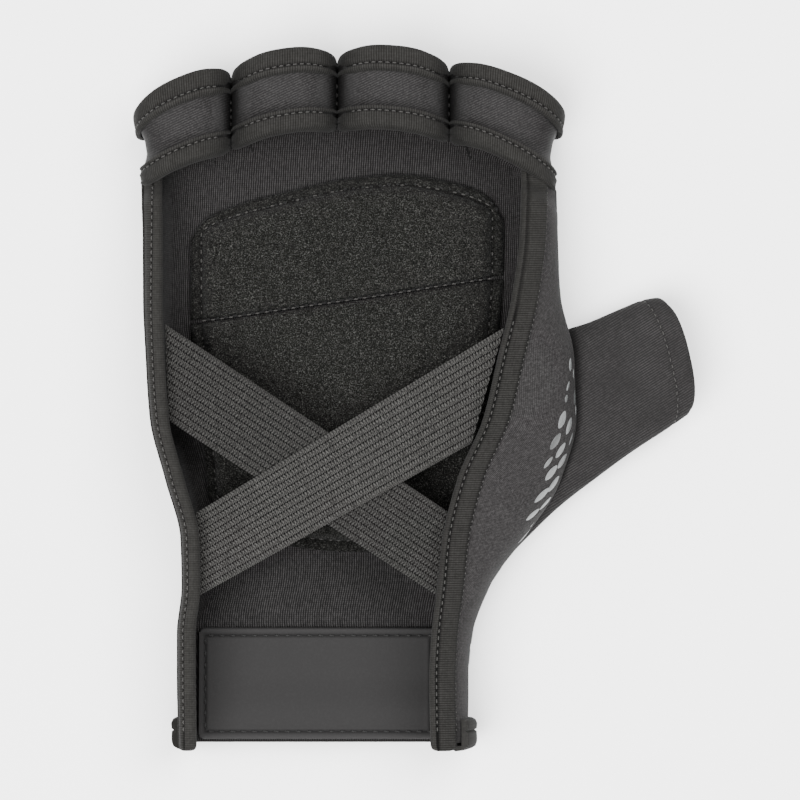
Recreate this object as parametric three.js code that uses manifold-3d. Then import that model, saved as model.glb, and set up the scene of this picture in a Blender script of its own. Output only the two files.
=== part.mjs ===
// Fingerless weightlifting glove for the left hand, lying palm down with its open back upward.
// Millimetres. +Z is up, +Y runs to the fingers and +X to the thumb. The palm's flat sole lies on z = 0.
import * as THREE from "three";
import { mergeVertices } from "three/addons/utils/BufferGeometryUtils.js";
import Module from "manifold-3d";

// Overall sizes
const bodyLength = 132;
const wristEdgeY = -74;
const palmBreadth = 92;
const wallHeight = 24;

// Cloth thicknesses and the small gap that keeps neighbouring pieces apart
const shellWall = 1.0;
const liningWall = 1.0;
const bindingWall = 1.0;
const loopWall = 1.2;
const sleeveWall = 1.1;
const gap = 0.3;
const restingHeight = 0.05;
const liningGap = 0.4;
const wallStack = shellWall + liningGap + liningWall;

// Cross-sections of the hand shell from the wrist edge to the finger end.
// at is a share of the body length. Sideways columns are shares of the palm breadth from the
// middle of the palm, and heights are shares of the wall height. left and right are the widest
// points, leftEdge and rightEdge the rims of the open back, and the turns are the bottom bends.
const bodySections = [
  { at: 0.0, left: -0.396, right: 0.276, leftEdge: -0.386, rightEdge: 0.209, leftRise: 0.76,
    rightRise: 0.82, waist: 0.4, sole: 0.105, leftTurn: 0.036, rightTurn: 0.058 },
  { at: 0.05, left: -0.398, right: 0.276, leftEdge: -0.387, rightEdge: 0.207, leftRise: 0.78,
    rightRise: 0.84, waist: 0.41, sole: 0.09, leftTurn: 0.036, rightTurn: 0.06 },
  { at: 0.11, left: -0.4, right: 0.277, leftEdge: -0.388, rightEdge: 0.206, leftRise: 0.79,
    rightRise: 0.86, waist: 0.42, sole: 0.02, leftTurn: 0.037, rightTurn: 0.062 },
  { at: 0.18, left: -0.4, right: 0.287, leftEdge: -0.388, rightEdge: 0.211, leftRise: 0.82,
    rightRise: 0.91, waist: 0.425, sole: 0.0, leftTurn: 0.038, rightTurn: 0.07 },
  { at: 0.257, left: -0.389, right: 0.328, leftEdge: -0.377, rightEdge: 0.224, leftRise: 0.83,
    rightRise: 0.95, waist: 0.425, sole: 0.0, leftTurn: 0.07, rightTurn: 0.1 },
  { at: 0.333, left: -0.392, right: 0.405, leftEdge: -0.379, rightEdge: 0.235, leftRise: 0.825,
    rightRise: 0.98, waist: 0.43, sole: 0.0, leftTurn: 0.08, rightTurn: 0.125 },
  { at: 0.432, left: -0.428, right: 0.496, leftEdge: -0.415, rightEdge: 0.27, leftRise: 0.81,
    rightRise: 1.0, waist: 0.44, sole: 0.0, leftTurn: 0.085, rightTurn: 0.14 },
  { at: 0.53, left: -0.463, right: 0.53, leftEdge: -0.45, rightEdge: 0.33, leftRise: 0.79,
    rightRise: 1.0, waist: 0.45, sole: 0.0, leftTurn: 0.09, rightTurn: 0.14 },
  { at: 0.629, left: -0.472, right: 0.524, leftEdge: -0.46, rightEdge: 0.364, leftRise: 0.76,
    rightRise: 0.975, waist: 0.455, sole: 0.0, leftTurn: 0.09, rightTurn: 0.13 },
  { at: 0.727, left: -0.478, right: 0.494, leftEdge: -0.465, rightEdge: 0.397, leftRise: 0.72,
    rightRise: 0.925, waist: 0.46, sole: 0.0, leftTurn: 0.09, rightTurn: 0.12 },
  { at: 0.826, left: -0.478, right: 0.486, leftEdge: -0.465, rightEdge: 0.416, leftRise: 0.68,
    rightRise: 0.86, waist: 0.47, sole: 0.04, leftTurn: 0.09, rightTurn: 0.11 },
  { at: 0.91, left: -0.481, right: 0.484, leftEdge: -0.466, rightEdge: 0.42, leftRise: 0.65,
    rightRise: 0.8, waist: 0.49, sole: 0.1, leftTurn: 0.09, rightTurn: 0.11 },
  { at: 1.0, left: -0.481, right: 0.48, leftEdge: -0.466, rightEdge: 0.42, leftRise: 0.64,
    rightRise: 0.78, waist: 0.53, sole: 0.15, leftTurn: 0.09, rightTurn: 0.1 },
];

// Stations along the body where the cloth walls are sectioned, as shares of the body length
const bodyStations = [0, 0.05, 0.11, 0.18, 0.22, 0.257, 0.295, 0.333, 0.38, 0.432, 0.53, 0.629, 0.727, 0.826,
  0.91, 1];

// In all the plan tables x, and each column that ends in X, is a share of the palm breadth from the
// middle of the palm. at, and each column that ends in At, is a share of the body length from the
// wrist edge.

// Seams beside the finger loops, from the outer side of the little finger to that of the index
const loopSeams = [
  { nearX: -0.493, nearAt: 0.907, farX: -0.514, farAt: 1.024 },
  { nearX: -0.278, nearAt: 0.967, farX: -0.278, farAt: 1.091 },
  { nearX: -0.030, nearAt: 0.999, farX: -0.030, farAt: 1.115 },
  { nearX: 0.232, nearAt: 0.98, farX: 0.232, farAt: 1.101 },
  { nearX: 0.484, nearAt: 0.894, farX: 0.510, farAt: 1.028 },
];
const loopNames = ["little", "ring", "middle", "index"];

// Side view of a finger loop. along runs from its near edge to its far edge, and the other
// columns are shares of the wall height: swell moves the wall out or in, and middle and rise
// are the height of the loop's middle line and its half height there.
const loopProfile = [
  { along: 0.0, swell: -0.015, middle: 0.46, rise: 0.34 },
  { along: 0.24, swell: -0.015, middle: 0.45, rise: 0.345 },
  { along: 0.42, swell: -0.05, middle: 0.435, rise: 0.36 },
  { along: 0.6, swell: -0.045, middle: 0.425, rise: 0.365 },
  { along: 0.78, swell: -0.01, middle: 0.42, rise: 0.37 },
  { along: 1.0, swell: 0.0, middle: 0.42, rise: 0.367 },
];
const loopLean = 0.25;
const nearCrown = 1.3;
const farCrown = 1.6;
const nearTrimWidth = 5.0;
const farTrimWidth = 4.6;
const trimWall = 1.0;
const trimBead = 1.25;
const seamPinch = 0.75;
const trimWrap = 0.12;

// Thumb sleeve in plan from inside the palm to its hemmed mouth, with its upper and lower edges.
// Heights are shares of the wall height and crown is a share of the palm breadth.
const sleeveSections = [
  { upperX: 0.4, upperAt: 0.623, lowerX: 0.25, lowerAt: 0.212, middle: 0.265, rise: 0.2, crown: 0.0 },
  { upperX: 0.5, upperAt: 0.664, lowerX: 0.415, lowerAt: 0.335, middle: 0.27, rise: 0.215, crown: 0.0 },
  { upperX: 0.56, upperAt: 0.67, lowerX: 0.5, lowerAt: 0.391, middle: 0.275, rise: 0.24, crown: 0.005 },
  { upperX: 0.635, upperAt: 0.69, lowerX: 0.585, lowerAt: 0.437, middle: 0.285, rise: 0.255, crown: 0.012 },
  { upperX: 0.69, upperAt: 0.711, lowerX: 0.685, lowerAt: 0.487, middle: 0.29, rise: 0.265, crown: 0.022 },
  { upperX: 0.717, upperAt: 0.715, lowerX: 0.77, lowerAt: 0.526, middle: 0.295, rise: 0.27, crown: 0.03 },
  { upperX: 0.728, upperAt: 0.711, lowerX: 0.79, lowerAt: 0.536, middle: 0.295, rise: 0.265, crown: 0.036 },
];
const sleeveHemDepth = 0.16;

// Crossed elastic straps: the corners of each, and the height of its ends as shares of the wall
// height. The over strap climbs on the under strap between the two crossing places.
const straps = {
  under: [
    { corner: "leftTop", x: -0.415, at: 0.676 },
    { corner: "leftFoot", x: -0.408, at: 0.519 },
    { corner: "rightTop", x: 0.222, at: 0.382 },
    { corner: "rightFoot", x: 0.21, at: 0.239 },
  ],
  over: [
    { corner: "leftTop", x: -0.342, at: 0.384 },
    { corner: "leftFoot", x: -0.34, at: 0.246 },
    { corner: "rightTop", x: 0.343, at: 0.671 },
    { corner: "rightFoot", x: 0.268, at: 0.483 },
  ],
};
const strapThickness = 1.2;
const strapRise = { left: 0.638, right: 0.767 };
const strapClimb = { startX: -0.359, fullX: -0.239, easeX: 0.141, endX: 0.271 };

// Padded terry patch inside the palm, split in two by a sewn groove. across is the share of the
// patch width between its two sides.
const padSides = { leftX: -0.376, rightX: 0.36 };
const padEdges = [
  { across: 0.0, topAt: 0.822, grooveAt: 0.688, bottomAt: 0.449 },
  { across: 0.05, topAt: 0.857, grooveAt: 0.69, bottomAt: 0.407 },
  { across: 0.15, topAt: 0.879, grooveAt: 0.697, bottomAt: 0.358 },
  { across: 0.32, topAt: 0.902, grooveAt: 0.71, bottomAt: 0.32 },
  { across: 0.5, topAt: 0.922, grooveAt: 0.723, bottomAt: 0.31 },
  { across: 0.67, topAt: 0.929, grooveAt: 0.736, bottomAt: 0.313 },
  { across: 0.84, topAt: 0.915, grooveAt: 0.75, bottomAt: 0.341 },
  { across: 0.95, topAt: 0.892, grooveAt: 0.758, bottomAt: 0.393 },
  { across: 1.0, topAt: 0.853, grooveAt: 0.761, bottomAt: 0.442 },
];
const padGrooveWidth = 0.74;
const padEdgeThickness = 1.1;
const padThickness = 3.0;
const padBorder = 2.4;
const padRise = 2.0;
const padFootTaper = 0.055;

// Rectangular tab sewn on the lining at the wrist
const tabEdges = { leftX: -0.359, rightX: 0.207, bottomAt: 0.005, topAt: 0.187 };
const tabThickness = 1.5;
const tabCorner = 1.6;
const tabBevel = 0.35;

// Folded bindings on the two rims of the open back, and the hem of the wrist edge
const ulnarLegs = { outer: 3.6, inner: 3.0 };
const radialLegs = { outer: 4.6, inner: 3.0 };
const hem = { outerLeg: 5.5, wall: 1.7, clearLeft: 4.4, clearRight: 5.4, lip: 1.2 };

// Colours and surface of the cloths
const cloths = {
  shell: { color: "#4e4c4e", roughness: 0.85 },
  lining: { color: "#302e2f", roughness: 0.95 },
  terry: { color: "#282829", roughness: 1.0 },
  loop: { color: "#484648", roughness: 0.55 },
  trim: { color: "#444442", roughness: 0.8 },
  binding: { color: "#444441", roughness: 0.85 },
  elastic: { color: "#5b5b5b", roughness: 0.8 },
  tab: { color: "#464545", roughness: 0.6 },
};

// A place in plan in millimetres from its X and At shares
function planPoint(x, at) {
  return new THREE.Vector2(x * palmBreadth, wristEdgeY + at * bodyLength);
}

// A smooth curve through a column of a table that never overshoots its rows
function smoothColumn(rows, position, column) {
  const slopes = rows.slice(1).map((row, i) => (
    (row[column] - rows[i][column]) / (row[position] - rows[i][position])
  ));
  const tangents = rows.map((row, i) => {
    if (i === 0) return slopes[0];
    if (i === rows.length - 1) return slopes[i - 1];
    if (slopes[i - 1] * slopes[i] <= 0) return 0;
    return (2 * slopes[i - 1] * slopes[i]) / (slopes[i - 1] + slopes[i]);
  });
  return (place) => {
    const last = rows.length - 2;
    let i = rows.findIndex((row, k) => k > 0 && place <= row[position]) - 1;
    if (i < 0) i = place <= rows[0][position] ? 0 : last;
    const span = rows[i + 1][position] - rows[i][position];
    const t = THREE.MathUtils.clamp((place - rows[i][position]) / span, 0, 1);
    const t2 = t * t;
    const t3 = t2 * t;
    return (2 * t3 - 3 * t2 + 1) * rows[i][column] + (t3 - 2 * t2 + t) * span * tangents[i]
      + (3 * t2 - 2 * t3) * rows[i + 1][column] + (t3 - t2) * span * tangents[i + 1];
  };
}

// A closed solid through rings of points. Joined rings make a hoop, others get flat end caps.
function loft(rings, joined = false) {
  const count = rings[0].length;
  const positions = rings.flat().flatMap((point) => [point.x, point.y, point.z]);
  const indices = [];
  const spans = joined ? rings.length : rings.length - 1;
  for (let i = 0; i < spans; i += 1) {
    const next = (i + 1) % rings.length;
    for (let j = 0; j < count; j += 1) {
      const k = (j + 1) % count;
      const corners = [i * count + j, i * count + k, next * count + k, next * count + j];
      indices.push(corners[0], corners[1], corners[2], corners[0], corners[2], corners[3]);
    }
  }
  if (!joined) {
    const lastStart = (rings.length - 1) * count;
    for (const [a, b, c] of capTriangles(rings[0])) indices.push(a, c, b);
    for (const [a, b, c] of capTriangles(rings[rings.length - 1])) {
      indices.push(lastStart + a, lastStart + b, lastStart + c);
    }
  }
  return solid(positions, indices);
}

// Triangles that fill a ring of points, wound the same way as the ring
function capTriangles(ring) {
  const normal = new THREE.Vector3();
  ring.forEach((point, i) => {
    const next = ring[(i + 1) % ring.length];
    normal.add(new THREE.Vector3().crossVectors(point, next));
  });
  const turn = new THREE.Quaternion().setFromUnitVectors(normal.normalize(), new THREE.Vector3(0, 0, 1));
  const flat = ring.map((point) => {
    const turned = point.clone().applyQuaternion(turn);
    return new THREE.Vector2(turned.x, turned.y);
  });
  const area = (a, b, c) => (b.x - a.x) * (c.y - a.y) - (c.x - a.x) * (b.y - a.y);
  const triangles = THREE.ShapeUtils.triangulateShape(flat, []);
  const sum = triangles.reduce((total, [a, b, c]) => total + area(flat[a], flat[b], flat[c]), 0);
  return sum > 0 ? triangles : triangles.map(([a, b, c]) => [a, c, b]);
}

// An indexed geometry whose faces are wound outward
function solid(positions, indices) {
  const at = (i) => new THREE.Vector3().fromArray(positions, 3 * i);
  let volume = 0;
  for (let i = 0; i < indices.length; i += 3) {
    volume += at(indices[i]).dot(at(indices[i + 1]).cross(at(indices[i + 2])));
  }
  if (volume < 0) {
    for (let i = 0; i < indices.length; i += 3) {
      [indices[i + 1], indices[i + 2]] = [indices[i + 2], indices[i + 1]];
    }
  }
  const geometry = new THREE.BufferGeometry();
  geometry.setAttribute("position", new THREE.Float32BufferAttribute(positions, 3));
  geometry.setIndex(indices);
  return geometry;
}

const wasm = await Module();
wasm.setup();

function toManifold(geometry) {
  const bare = new THREE.BufferGeometry();
  bare.setAttribute("position", geometry.getAttribute("position").clone());
  if (geometry.index) bare.setIndex(geometry.index.clone());
  const merged = mergeVertices(bare, 1e-4);
  return new wasm.Manifold(new wasm.Mesh({
    numProp: 3,
    vertProperties: new Float32Array(merged.getAttribute("position").array),
    triVerts: new Uint32Array(merged.index.array),
  }));
}

function fromManifold(body) {
  const mesh = body.getMesh();
  const geometry = new THREE.BufferGeometry();
  geometry.setAttribute("position", new THREE.Float32BufferAttribute(mesh.vertProperties, 3));
  geometry.setIndex(Array.from(mesh.triVerts));
  return geometry;
}

// Hand shell section in the x-z plane. place runs from 0 at the left rim to 5 at the right rim:
// wall above the waist, bend, sole, bend, wall above the waist.
const bodyColumns = Object.fromEntries(
  Object.keys(bodySections[0]).filter((key) => key !== "at")
    .map((key) => [key, smoothColumn(bodySections, "at", key)]),
);

function bodyRow(share) {
  const row = {};
  for (const key of ["left", "right", "leftEdge", "rightEdge", "leftTurn", "rightTurn"]) {
    row[key] = bodyColumns[key](share) * palmBreadth;
  }
  for (const key of ["leftRise", "rightRise", "waist", "sole"]) {
    row[key] = bodyColumns[key](share) * wallHeight;
  }
  return row;
}

function wallCurve(side, waist, edge, rise, fullness, t) {
  const high = waist + fullness * (rise - waist);
  const keep = (1 - t) * (1 - t);
  const bend = 2 * t * (1 - t);
  return new THREE.Vector2((keep + bend) * side + t * t * edge, keep * waist + bend * high + t * t * rise);
}

function bottomBend(side, inward, waist, sole, t) {
  const drop = waist - sole;
  const bendHeight = Math.min(Math.abs(inward), 0.9 * drop);
  const straight = (drop - bendHeight) / (drop - bendHeight + 1.5 * bendHeight);
  if (t < straight) return new THREE.Vector2(side, waist - (t / straight) * (drop - bendHeight));
  const angle = ((t - straight) / (1 - straight)) * (Math.PI / 2);
  return new THREE.Vector2(side + inward * (1 - Math.cos(angle)), sole + bendHeight * (1 - Math.sin(angle)));
}

function sectionPoint(row, place) {
  if (place <= 1) return wallCurve(row.left, row.waist, row.leftEdge, row.leftRise, 0.6, 1 - place);
  if (place <= 2) return bottomBend(row.left, row.leftTurn, row.waist, row.sole, place - 1);
  if (place <= 3) {
    const start = row.left + row.leftTurn;
    const end = row.right - row.rightTurn;
    return new THREE.Vector2(THREE.MathUtils.lerp(start, end, place - 2), row.sole);
  }
  if (place <= 4) return bottomBend(row.right, -row.rightTurn, row.waist, row.sole, 4 - place);
  return wallCurve(row.right, row.waist, row.rightEdge, row.rightRise, 0.9, place - 4);
}

// A point of the section moved outward from the cloth by the given distance
function wallPoint(share, place, outward) {
  const row = bodyRow(share);
  const step = 0.004;
  const from = sectionPoint(row, Math.max(0, place - step));
  const along = sectionPoint(row, Math.min(5, place + step)).sub(from).normalize();
  const point = sectionPoint(row, place);
  return new THREE.Vector3(
    point.x + along.y * outward,
    wristEdgeY + share * bodyLength,
    point.y - along.x * outward,
  );
}

// The place on the section that lies the given distance down the wall from a rim
function placeBelowRim(share, rim, distance) {
  const row = bodyRow(share);
  const step = rim === 0 ? 0.02 : -0.02;
  let place = rim;
  let walked = 0;
  while (walked < distance && place + step >= 0 && place + step <= 5) {
    const stride = sectionPoint(row, place).distanceTo(sectionPoint(row, place + step));
    if (walked + stride >= distance) return place + (step * (distance - walked)) / stride;
    walked += stride;
    place += step;
  }
  return place;
}

// A cloth wall that follows the body between two depths measured inward from its outer face
function clothWall(places, outerDepth, innerDepth) {
  const rings = bodyStations.map((share) => [
    ...places.map((place) => wallPoint(share, place, -outerDepth)),
    ...places.map((place) => wallPoint(share, place, -innerDepth)).reverse(),
  ]);
  return loft(rings);
}

const wallPlaces = [0, 0.3, 0.65, 1, 1.4, 1.7, 2, 3, 3.3, 3.6, 4, 4.2, 4.4, 4.6, 4.8, 5];

// Everything beyond the near edges of the finger loops, leaned like the loops. The line of the
// edges runs straight on past the outer seams.
function loopCutter(clearance) {
  const corners = loopSeams.map((seam) => planPoint(seam.nearX, seam.nearAt));
  corners.forEach((corner) => corner.setY(corner.y - clearance));
  const before = corners[0].clone().multiplyScalar(2).sub(corners[1]);
  const after = corners[4].clone().multiplyScalar(2).sub(corners[3]);
  const beyondY = wristEdgeY + 2 * bodyLength;
  const shape = new THREE.Shape([
    before, ...corners, after, new THREE.Vector2(after.x, beyondY), new THREE.Vector2(before.x, beyondY),
  ]);
  const block = new THREE.ExtrudeGeometry(shape, { depth: 3 * wallHeight, bevelEnabled: false });
  const hinge = loopProfile[0].middle * wallHeight;
  block.translate(0, 0, -wallHeight - hinge);
  block.applyMatrix4(new THREE.Matrix4().set(1, 0, 0, 0, 0, 1, loopLean, 0, 0, 0, 1, 0, 0, 0, 0, 1));
  block.translate(0, 0, hinge);
  return block;
}

// Finger loop: a hoop whose near and far corners sit on the seams between the fingers
const loopColumns = Object.fromEntries(
  ["swell", "middle", "rise"].map((key) => [key, smoothColumn(loopProfile, "along", key)]),
);

function loopPoint(index, along, angle, outward) {
  const seam = (number) => {
    const { nearX, nearAt, farX, farAt } = loopSeams[number];
    return planPoint(THREE.MathUtils.lerp(nearX, farX, along), THREE.MathUtils.lerp(nearAt, farAt, along));
  };
  const leftEnd = seam(index);
  const rightEnd = seam(index + 1);
  const across = rightEnd.clone().sub(leftEnd).normalize();
  const swell = loopColumns.swell(along) * wallHeight;
  if (index === 0) leftEnd.addScaledVector(across, -swell);
  if (index === loopNames.length - 1) rightEnd.addScaledVector(across, swell);
  const trimRoom = gap / 2 + 0.05 + trimBead * trimWall * seamPinch;
  const halfWidth = leftEnd.distanceTo(rightEnd) / 2 - trimRoom + outward * seamPinch;
  const rise = loopColumns.rise(along) * wallHeight + swell + outward;
  const centre = leftEnd.add(rightEnd).multiplyScalar(0.5);
  const sine = Math.sin(angle);
  const cosine = Math.cos(angle);
  const power = sine > 0 ? 2 / 2.5 : 2 / 3.2;
  const side = Math.sign(cosine) * Math.abs(cosine) ** power * halfWidth;
  const up = Math.sign(sine) * Math.abs(sine) ** power * rise;
  const crown = THREE.MathUtils.lerp(nearCrown, farCrown, along) * Math.max(0, sine) ** 2;
  return new THREE.Vector3(
    centre.x + across.x * side,
    centre.y + across.y * side + loopLean * up + crown,
    loopColumns.middle(along) * wallHeight + up,
  );
}

function loopLength(index) {
  const depth = (seam) => (seam.farAt - seam.nearAt) * bodyLength;
  return (depth(loopSeams[index]) + depth(loopSeams[index + 1])) / 2;
}

const loopAngles = Array.from({ length: 20 }, (_, i) => {
  const even = (i / 20) * 2 * Math.PI;
  return even - 0.1 * Math.sin(4 * even);
});

// A hoop with the given profile: distance is measured from the near edge of the loop
function loopHoop(index, profileAt, angles = loopAngles) {
  const length = loopLength(index);
  const rings = angles.map((angle) => profileAt(angle).map(([distance, outward]) => (
    loopPoint(index, distance / length, angle, outward)
  )));
  return loft(rings, angles === loopAngles);
}

// The band of a loop. On the palm side its near edge meets the hand shell without a trim.
function loopBand(index) {
  const length = loopLength(index);
  const end = length - trimWall - gap;
  return loopHoop(index, (angle) => {
    const start = Math.sin(angle) > -Math.sin(2 * trimWrap) ? trimWall + gap : 0;
    const outer = [start, 0.27 * length, 0.42 * length, 0.6 * length, 0.76 * length, end];
    const inner = [end, 0.72 * length, 0.5 * length, 0.28 * length, start];
    return [
      ...outer.map((distance) => [distance, -gap]),
      ...inner.map((distance) => [distance, -gap - loopWall]),
    ];
  });
}

const trimAngles = [
  -trimWrap,
  ...loopAngles.filter((angle) => angle < Math.PI + trimWrap / 2),
  Math.PI + trimWrap,
];

// A trim folded over one edge of a loop, with a small rolled lip on its open side. The far trim
// goes all round the finger hole and the near trim only over the back of the finger.
function loopTrim(index, width, far) {
  const length = loopLength(index);
  const inside = -loopWall - 2 * gap;
  const profile = [
    [width, 0], [width - 0.3, trimWall], [width - 0.9, trimWall * trimBead], [width - 1.6, trimWall * 0.85],
    [trimWall, trimWall * 0.95], [0, inside / 2], [trimWall, inside - trimWall],
    [width * 0.65, inside - trimWall], [width * 0.65, inside], [trimWall, inside], [trimWall, 0],
  ];
  const placed = profile.map(([distance, outward]) => [far ? length - distance : distance, outward]);
  return loopHoop(index, () => placed, far ? loopAngles : trimAngles);
}

// Thumb sleeve in plan, from inside the palm to its mouth
const sleeveRows = sleeveSections.map((row, i) => ({ ...row, along: i / (sleeveSections.length - 1) }));
const sleeveColumns = Object.fromEntries(
  Object.keys(sleeveSections[0]).map((key) => [key, smoothColumn(sleeveRows, "along", key)]),
);

function sleevePoint(along, angle, outward) {
  const upper = planPoint(sleeveColumns.upperX(along), sleeveColumns.upperAt(along));
  const lower = planPoint(sleeveColumns.lowerX(along), sleeveColumns.lowerAt(along));
  const across = upper.clone().sub(lower);
  const halfWidth = across.length() / 2 + outward;
  const centre = upper.clone().add(lower).multiplyScalar(0.5);
  across.normalize();
  const forward = new THREE.Vector2(across.y, -across.x);
  const sine = Math.sin(angle);
  const cosine = Math.cos(angle);
  const power = 2 / 2.5;
  const side = Math.sign(cosine) * Math.abs(cosine) ** power * halfWidth;
  const up = Math.sign(sine) * Math.abs(sine) ** power * (sleeveColumns.rise(along) * wallHeight + outward);
  const bulge = sleeveColumns.crown(along) * palmBreadth * Math.max(0, sine);
  return new THREE.Vector3(
    centre.x + across.x * side + forward.x * bulge,
    centre.y + across.y * side + forward.y * bulge,
    sleeveColumns.middle(along) * wallHeight + up,
  );
}

const sleeveAngles = Array.from({ length: 22 }, (_, i) => (i / 22) * 2 * Math.PI);
const sleeveAlongs = [0, 0.17, 0.33, 0.5, 0.67, 0.84, 1];

function sleeveSolid(outward) {
  return loft(sleeveAlongs.map((along) => sleeveAngles.map((angle) => sleevePoint(along, angle, outward))));
}

function sleeveHoop() {
  const hemStart = 1 - sleeveHemDepth;
  const outer = sleeveAlongs.map((along) => [along, 0]);
  const inner = [[1, -2 * sleeveWall], [hemStart, -2 * sleeveWall], [hemStart, -sleeveWall],
    ...sleeveAlongs.slice(0, -2).reverse().map((along) => [along, -sleeveWall])];
  const rings = sleeveAngles.map((angle) => (
    [...outer, ...inner].map(([along, outward]) => sleevePoint(along, angle, outward))
  ));
  return loft(rings, true);
}

// The whole body as one filled solid, grown by the given distance
function filledBody(grown) {
  return loft(bodyStations.map((share) => wallPlaces.map((place) => wallPoint(share, place, grown))));
}

// A binding folded over a rim: legs down both faces of the wall and a rolled top
function rimBinding(rim, legs) {
  const outerLow = gap;
  const outerHigh = gap + bindingWall;
  const innerLow = -wallStack - gap;
  const innerHigh = innerLow - bindingWall;
  const middle = -wallStack / 2;
  const roll = wallStack / 2 + gap;
  const arc = (radius, from, to, steps) => Array.from({ length: steps + 1 }, (_, i) => {
    const angle = THREE.MathUtils.lerp(from, to, i / steps);
    return [radius * Math.cos(angle), middle + radius * Math.sin(angle)];
  });
  const quarter = Math.PI / 2;
  const profile = [
    [-legs.outer, outerLow], [-legs.outer * 0.5, outerLow], ...arc(roll, quarter, -quarter, 2),
    [-legs.inner * 0.5, innerLow], [-legs.inner, innerLow],
    [-legs.inner, innerHigh], ...arc(roll + bindingWall, -quarter, quarter, 6),
    [-legs.outer * 0.5, outerHigh], [-legs.outer, outerHigh],
  ];
  const rings = bodyStations.map((share) => {
    const base = wallPoint(share, rim, 0);
    const outward = wallPoint(share, rim, 1).sub(base);
    const beyond = new THREE.Vector3(-outward.z, 0, outward.x).multiplyScalar(rim === 0 ? -1 : 1);
    return profile.map(([along, out]) => {
      if (along < 0) return wallPoint(share, placeBelowRim(share, rim, -along), out);
      return base.clone().addScaledVector(beyond, along).addScaledVector(outward, out);
    });
  });
  return loft(rings);
}

// The hem that closes the wrist edge of the cloth walls, between the two bindings
function wristHem() {
  const start = placeBelowRim(0, 0, hem.clearLeft);
  const end = placeBelowRim(0, 5, hem.clearRight);
  const profile = [
    [hem.outerLeg, gap], [hem.outerLeg - 0.3, gap + hem.wall * 0.6], [hem.outerLeg - 1.2, gap + hem.wall],
    [0.5, gap + hem.wall], [-hem.lip * 0.8, gap + hem.wall * 0.4], [-hem.lip - gap, -wallStack * 0.4],
    [-hem.lip * 0.9, -wallStack], [-gap, -wallStack], [-gap, gap],
  ];
  const places = [start, ...wallPlaces.filter((place) => place > start + 0.1 && place < end - 0.1), end];
  const rings = places.map((place) => profile.map(([along, outward]) => {
    const point = wallPoint(Math.max(0, along) / bodyLength, place, outward);
    point.y = wristEdgeY + along;
    point.z = Math.max(point.z, restingHeight);
    return point;
  }));
  return loft(rings);
}

// Height of the lining's inner face over the middle of the sole
function floorHeight(y) {
  const share = THREE.MathUtils.clamp((y - wristEdgeY) / bodyLength, 0, 1);
  return bodyColumns.sole(share) * wallHeight + wallStack;
}

// A closed patch from a grid of top points over a grid of bottom points
function patch(top, bottom) {
  const rows = top.length;
  const columns = top[0].length;
  const positions = [...top.flat(), ...bottom.flat()].flatMap((point) => [point.x, point.y, point.z]);
  const under = rows * columns;
  const indices = [];
  for (let i = 0; i < rows - 1; i += 1) {
    for (let j = 0; j < columns - 1; j += 1) {
      const a = i * columns + j;
      const b = a + 1;
      const c = b + columns;
      const d = a + columns;
      indices.push(a, b, c, a, c, d);
      indices.push(under + a, under + c, under + b, under + a, under + d, under + c);
    }
  }
  const rim = [];
  for (let j = 0; j < columns - 1; j += 1) rim.push(j);
  for (let i = 0; i < rows - 1; i += 1) rim.push(i * columns + columns - 1);
  for (let j = columns - 1; j > 0; j -= 1) rim.push((rows - 1) * columns + j);
  for (let i = rows - 1; i > 0; i -= 1) rim.push(i * columns);
  rim.forEach((a, k) => {
    const b = rim[(k + 1) % rim.length];
    indices.push(b, a, under + a, b, under + a, under + b);
  });
  return solid(positions, indices);
}

const padGroove = smoothColumn(padEdges, "across", "grooveAt");
const padTop = smoothColumn(padEdges, "across", "topAt");
const padBottom = smoothColumn(padEdges, "across", "bottomAt");

// One half of the terry patch, with a flat sewn border and a padded middle. Its lower edge may be
// drawn in at both ends, and lowLift and highDrop move the edges off the groove.
function terryPad(lowerEdge, upperEdge, { taper = 0, lowLift = 0, highDrop = 0 }) {
  const steps = [0, 0.045, 0.11, 0.3, 0.5, 0.7, 0.89, 0.955, 1];
  const width = (padSides.rightX - padSides.leftX) * palmBreadth;
  const surface = (thickness) => steps.map((up) => steps.map((side) => {
    const inset = taper * (1 - up);
    const across = THREE.MathUtils.lerp(inset, 1 - inset, side);
    const x = THREE.MathUtils.lerp(padSides.leftX, padSides.rightX, across);
    const low = planPoint(x, lowerEdge(across));
    const high = planPoint(x, upperEdge(across));
    low.y += lowLift;
    high.y -= highDrop;
    const y = THREE.MathUtils.lerp(low.y, high.y, up);
    const rise = high.y - low.y;
    const depth = Math.min(side * width, (1 - side) * width, up * rise, (1 - up) * rise);
    return new THREE.Vector3(low.x, y, floorHeight(y) + gap + 0.05 + thickness(depth));
  }));
  const puff = (depth) => {
    const swollen = THREE.MathUtils.smoothstep(depth, padBorder * 0.8, padBorder + padRise);
    return THREE.MathUtils.lerp(padEdgeThickness, padThickness, swollen);
  };
  return patch(surface(puff), surface(() => 0));
}

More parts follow.
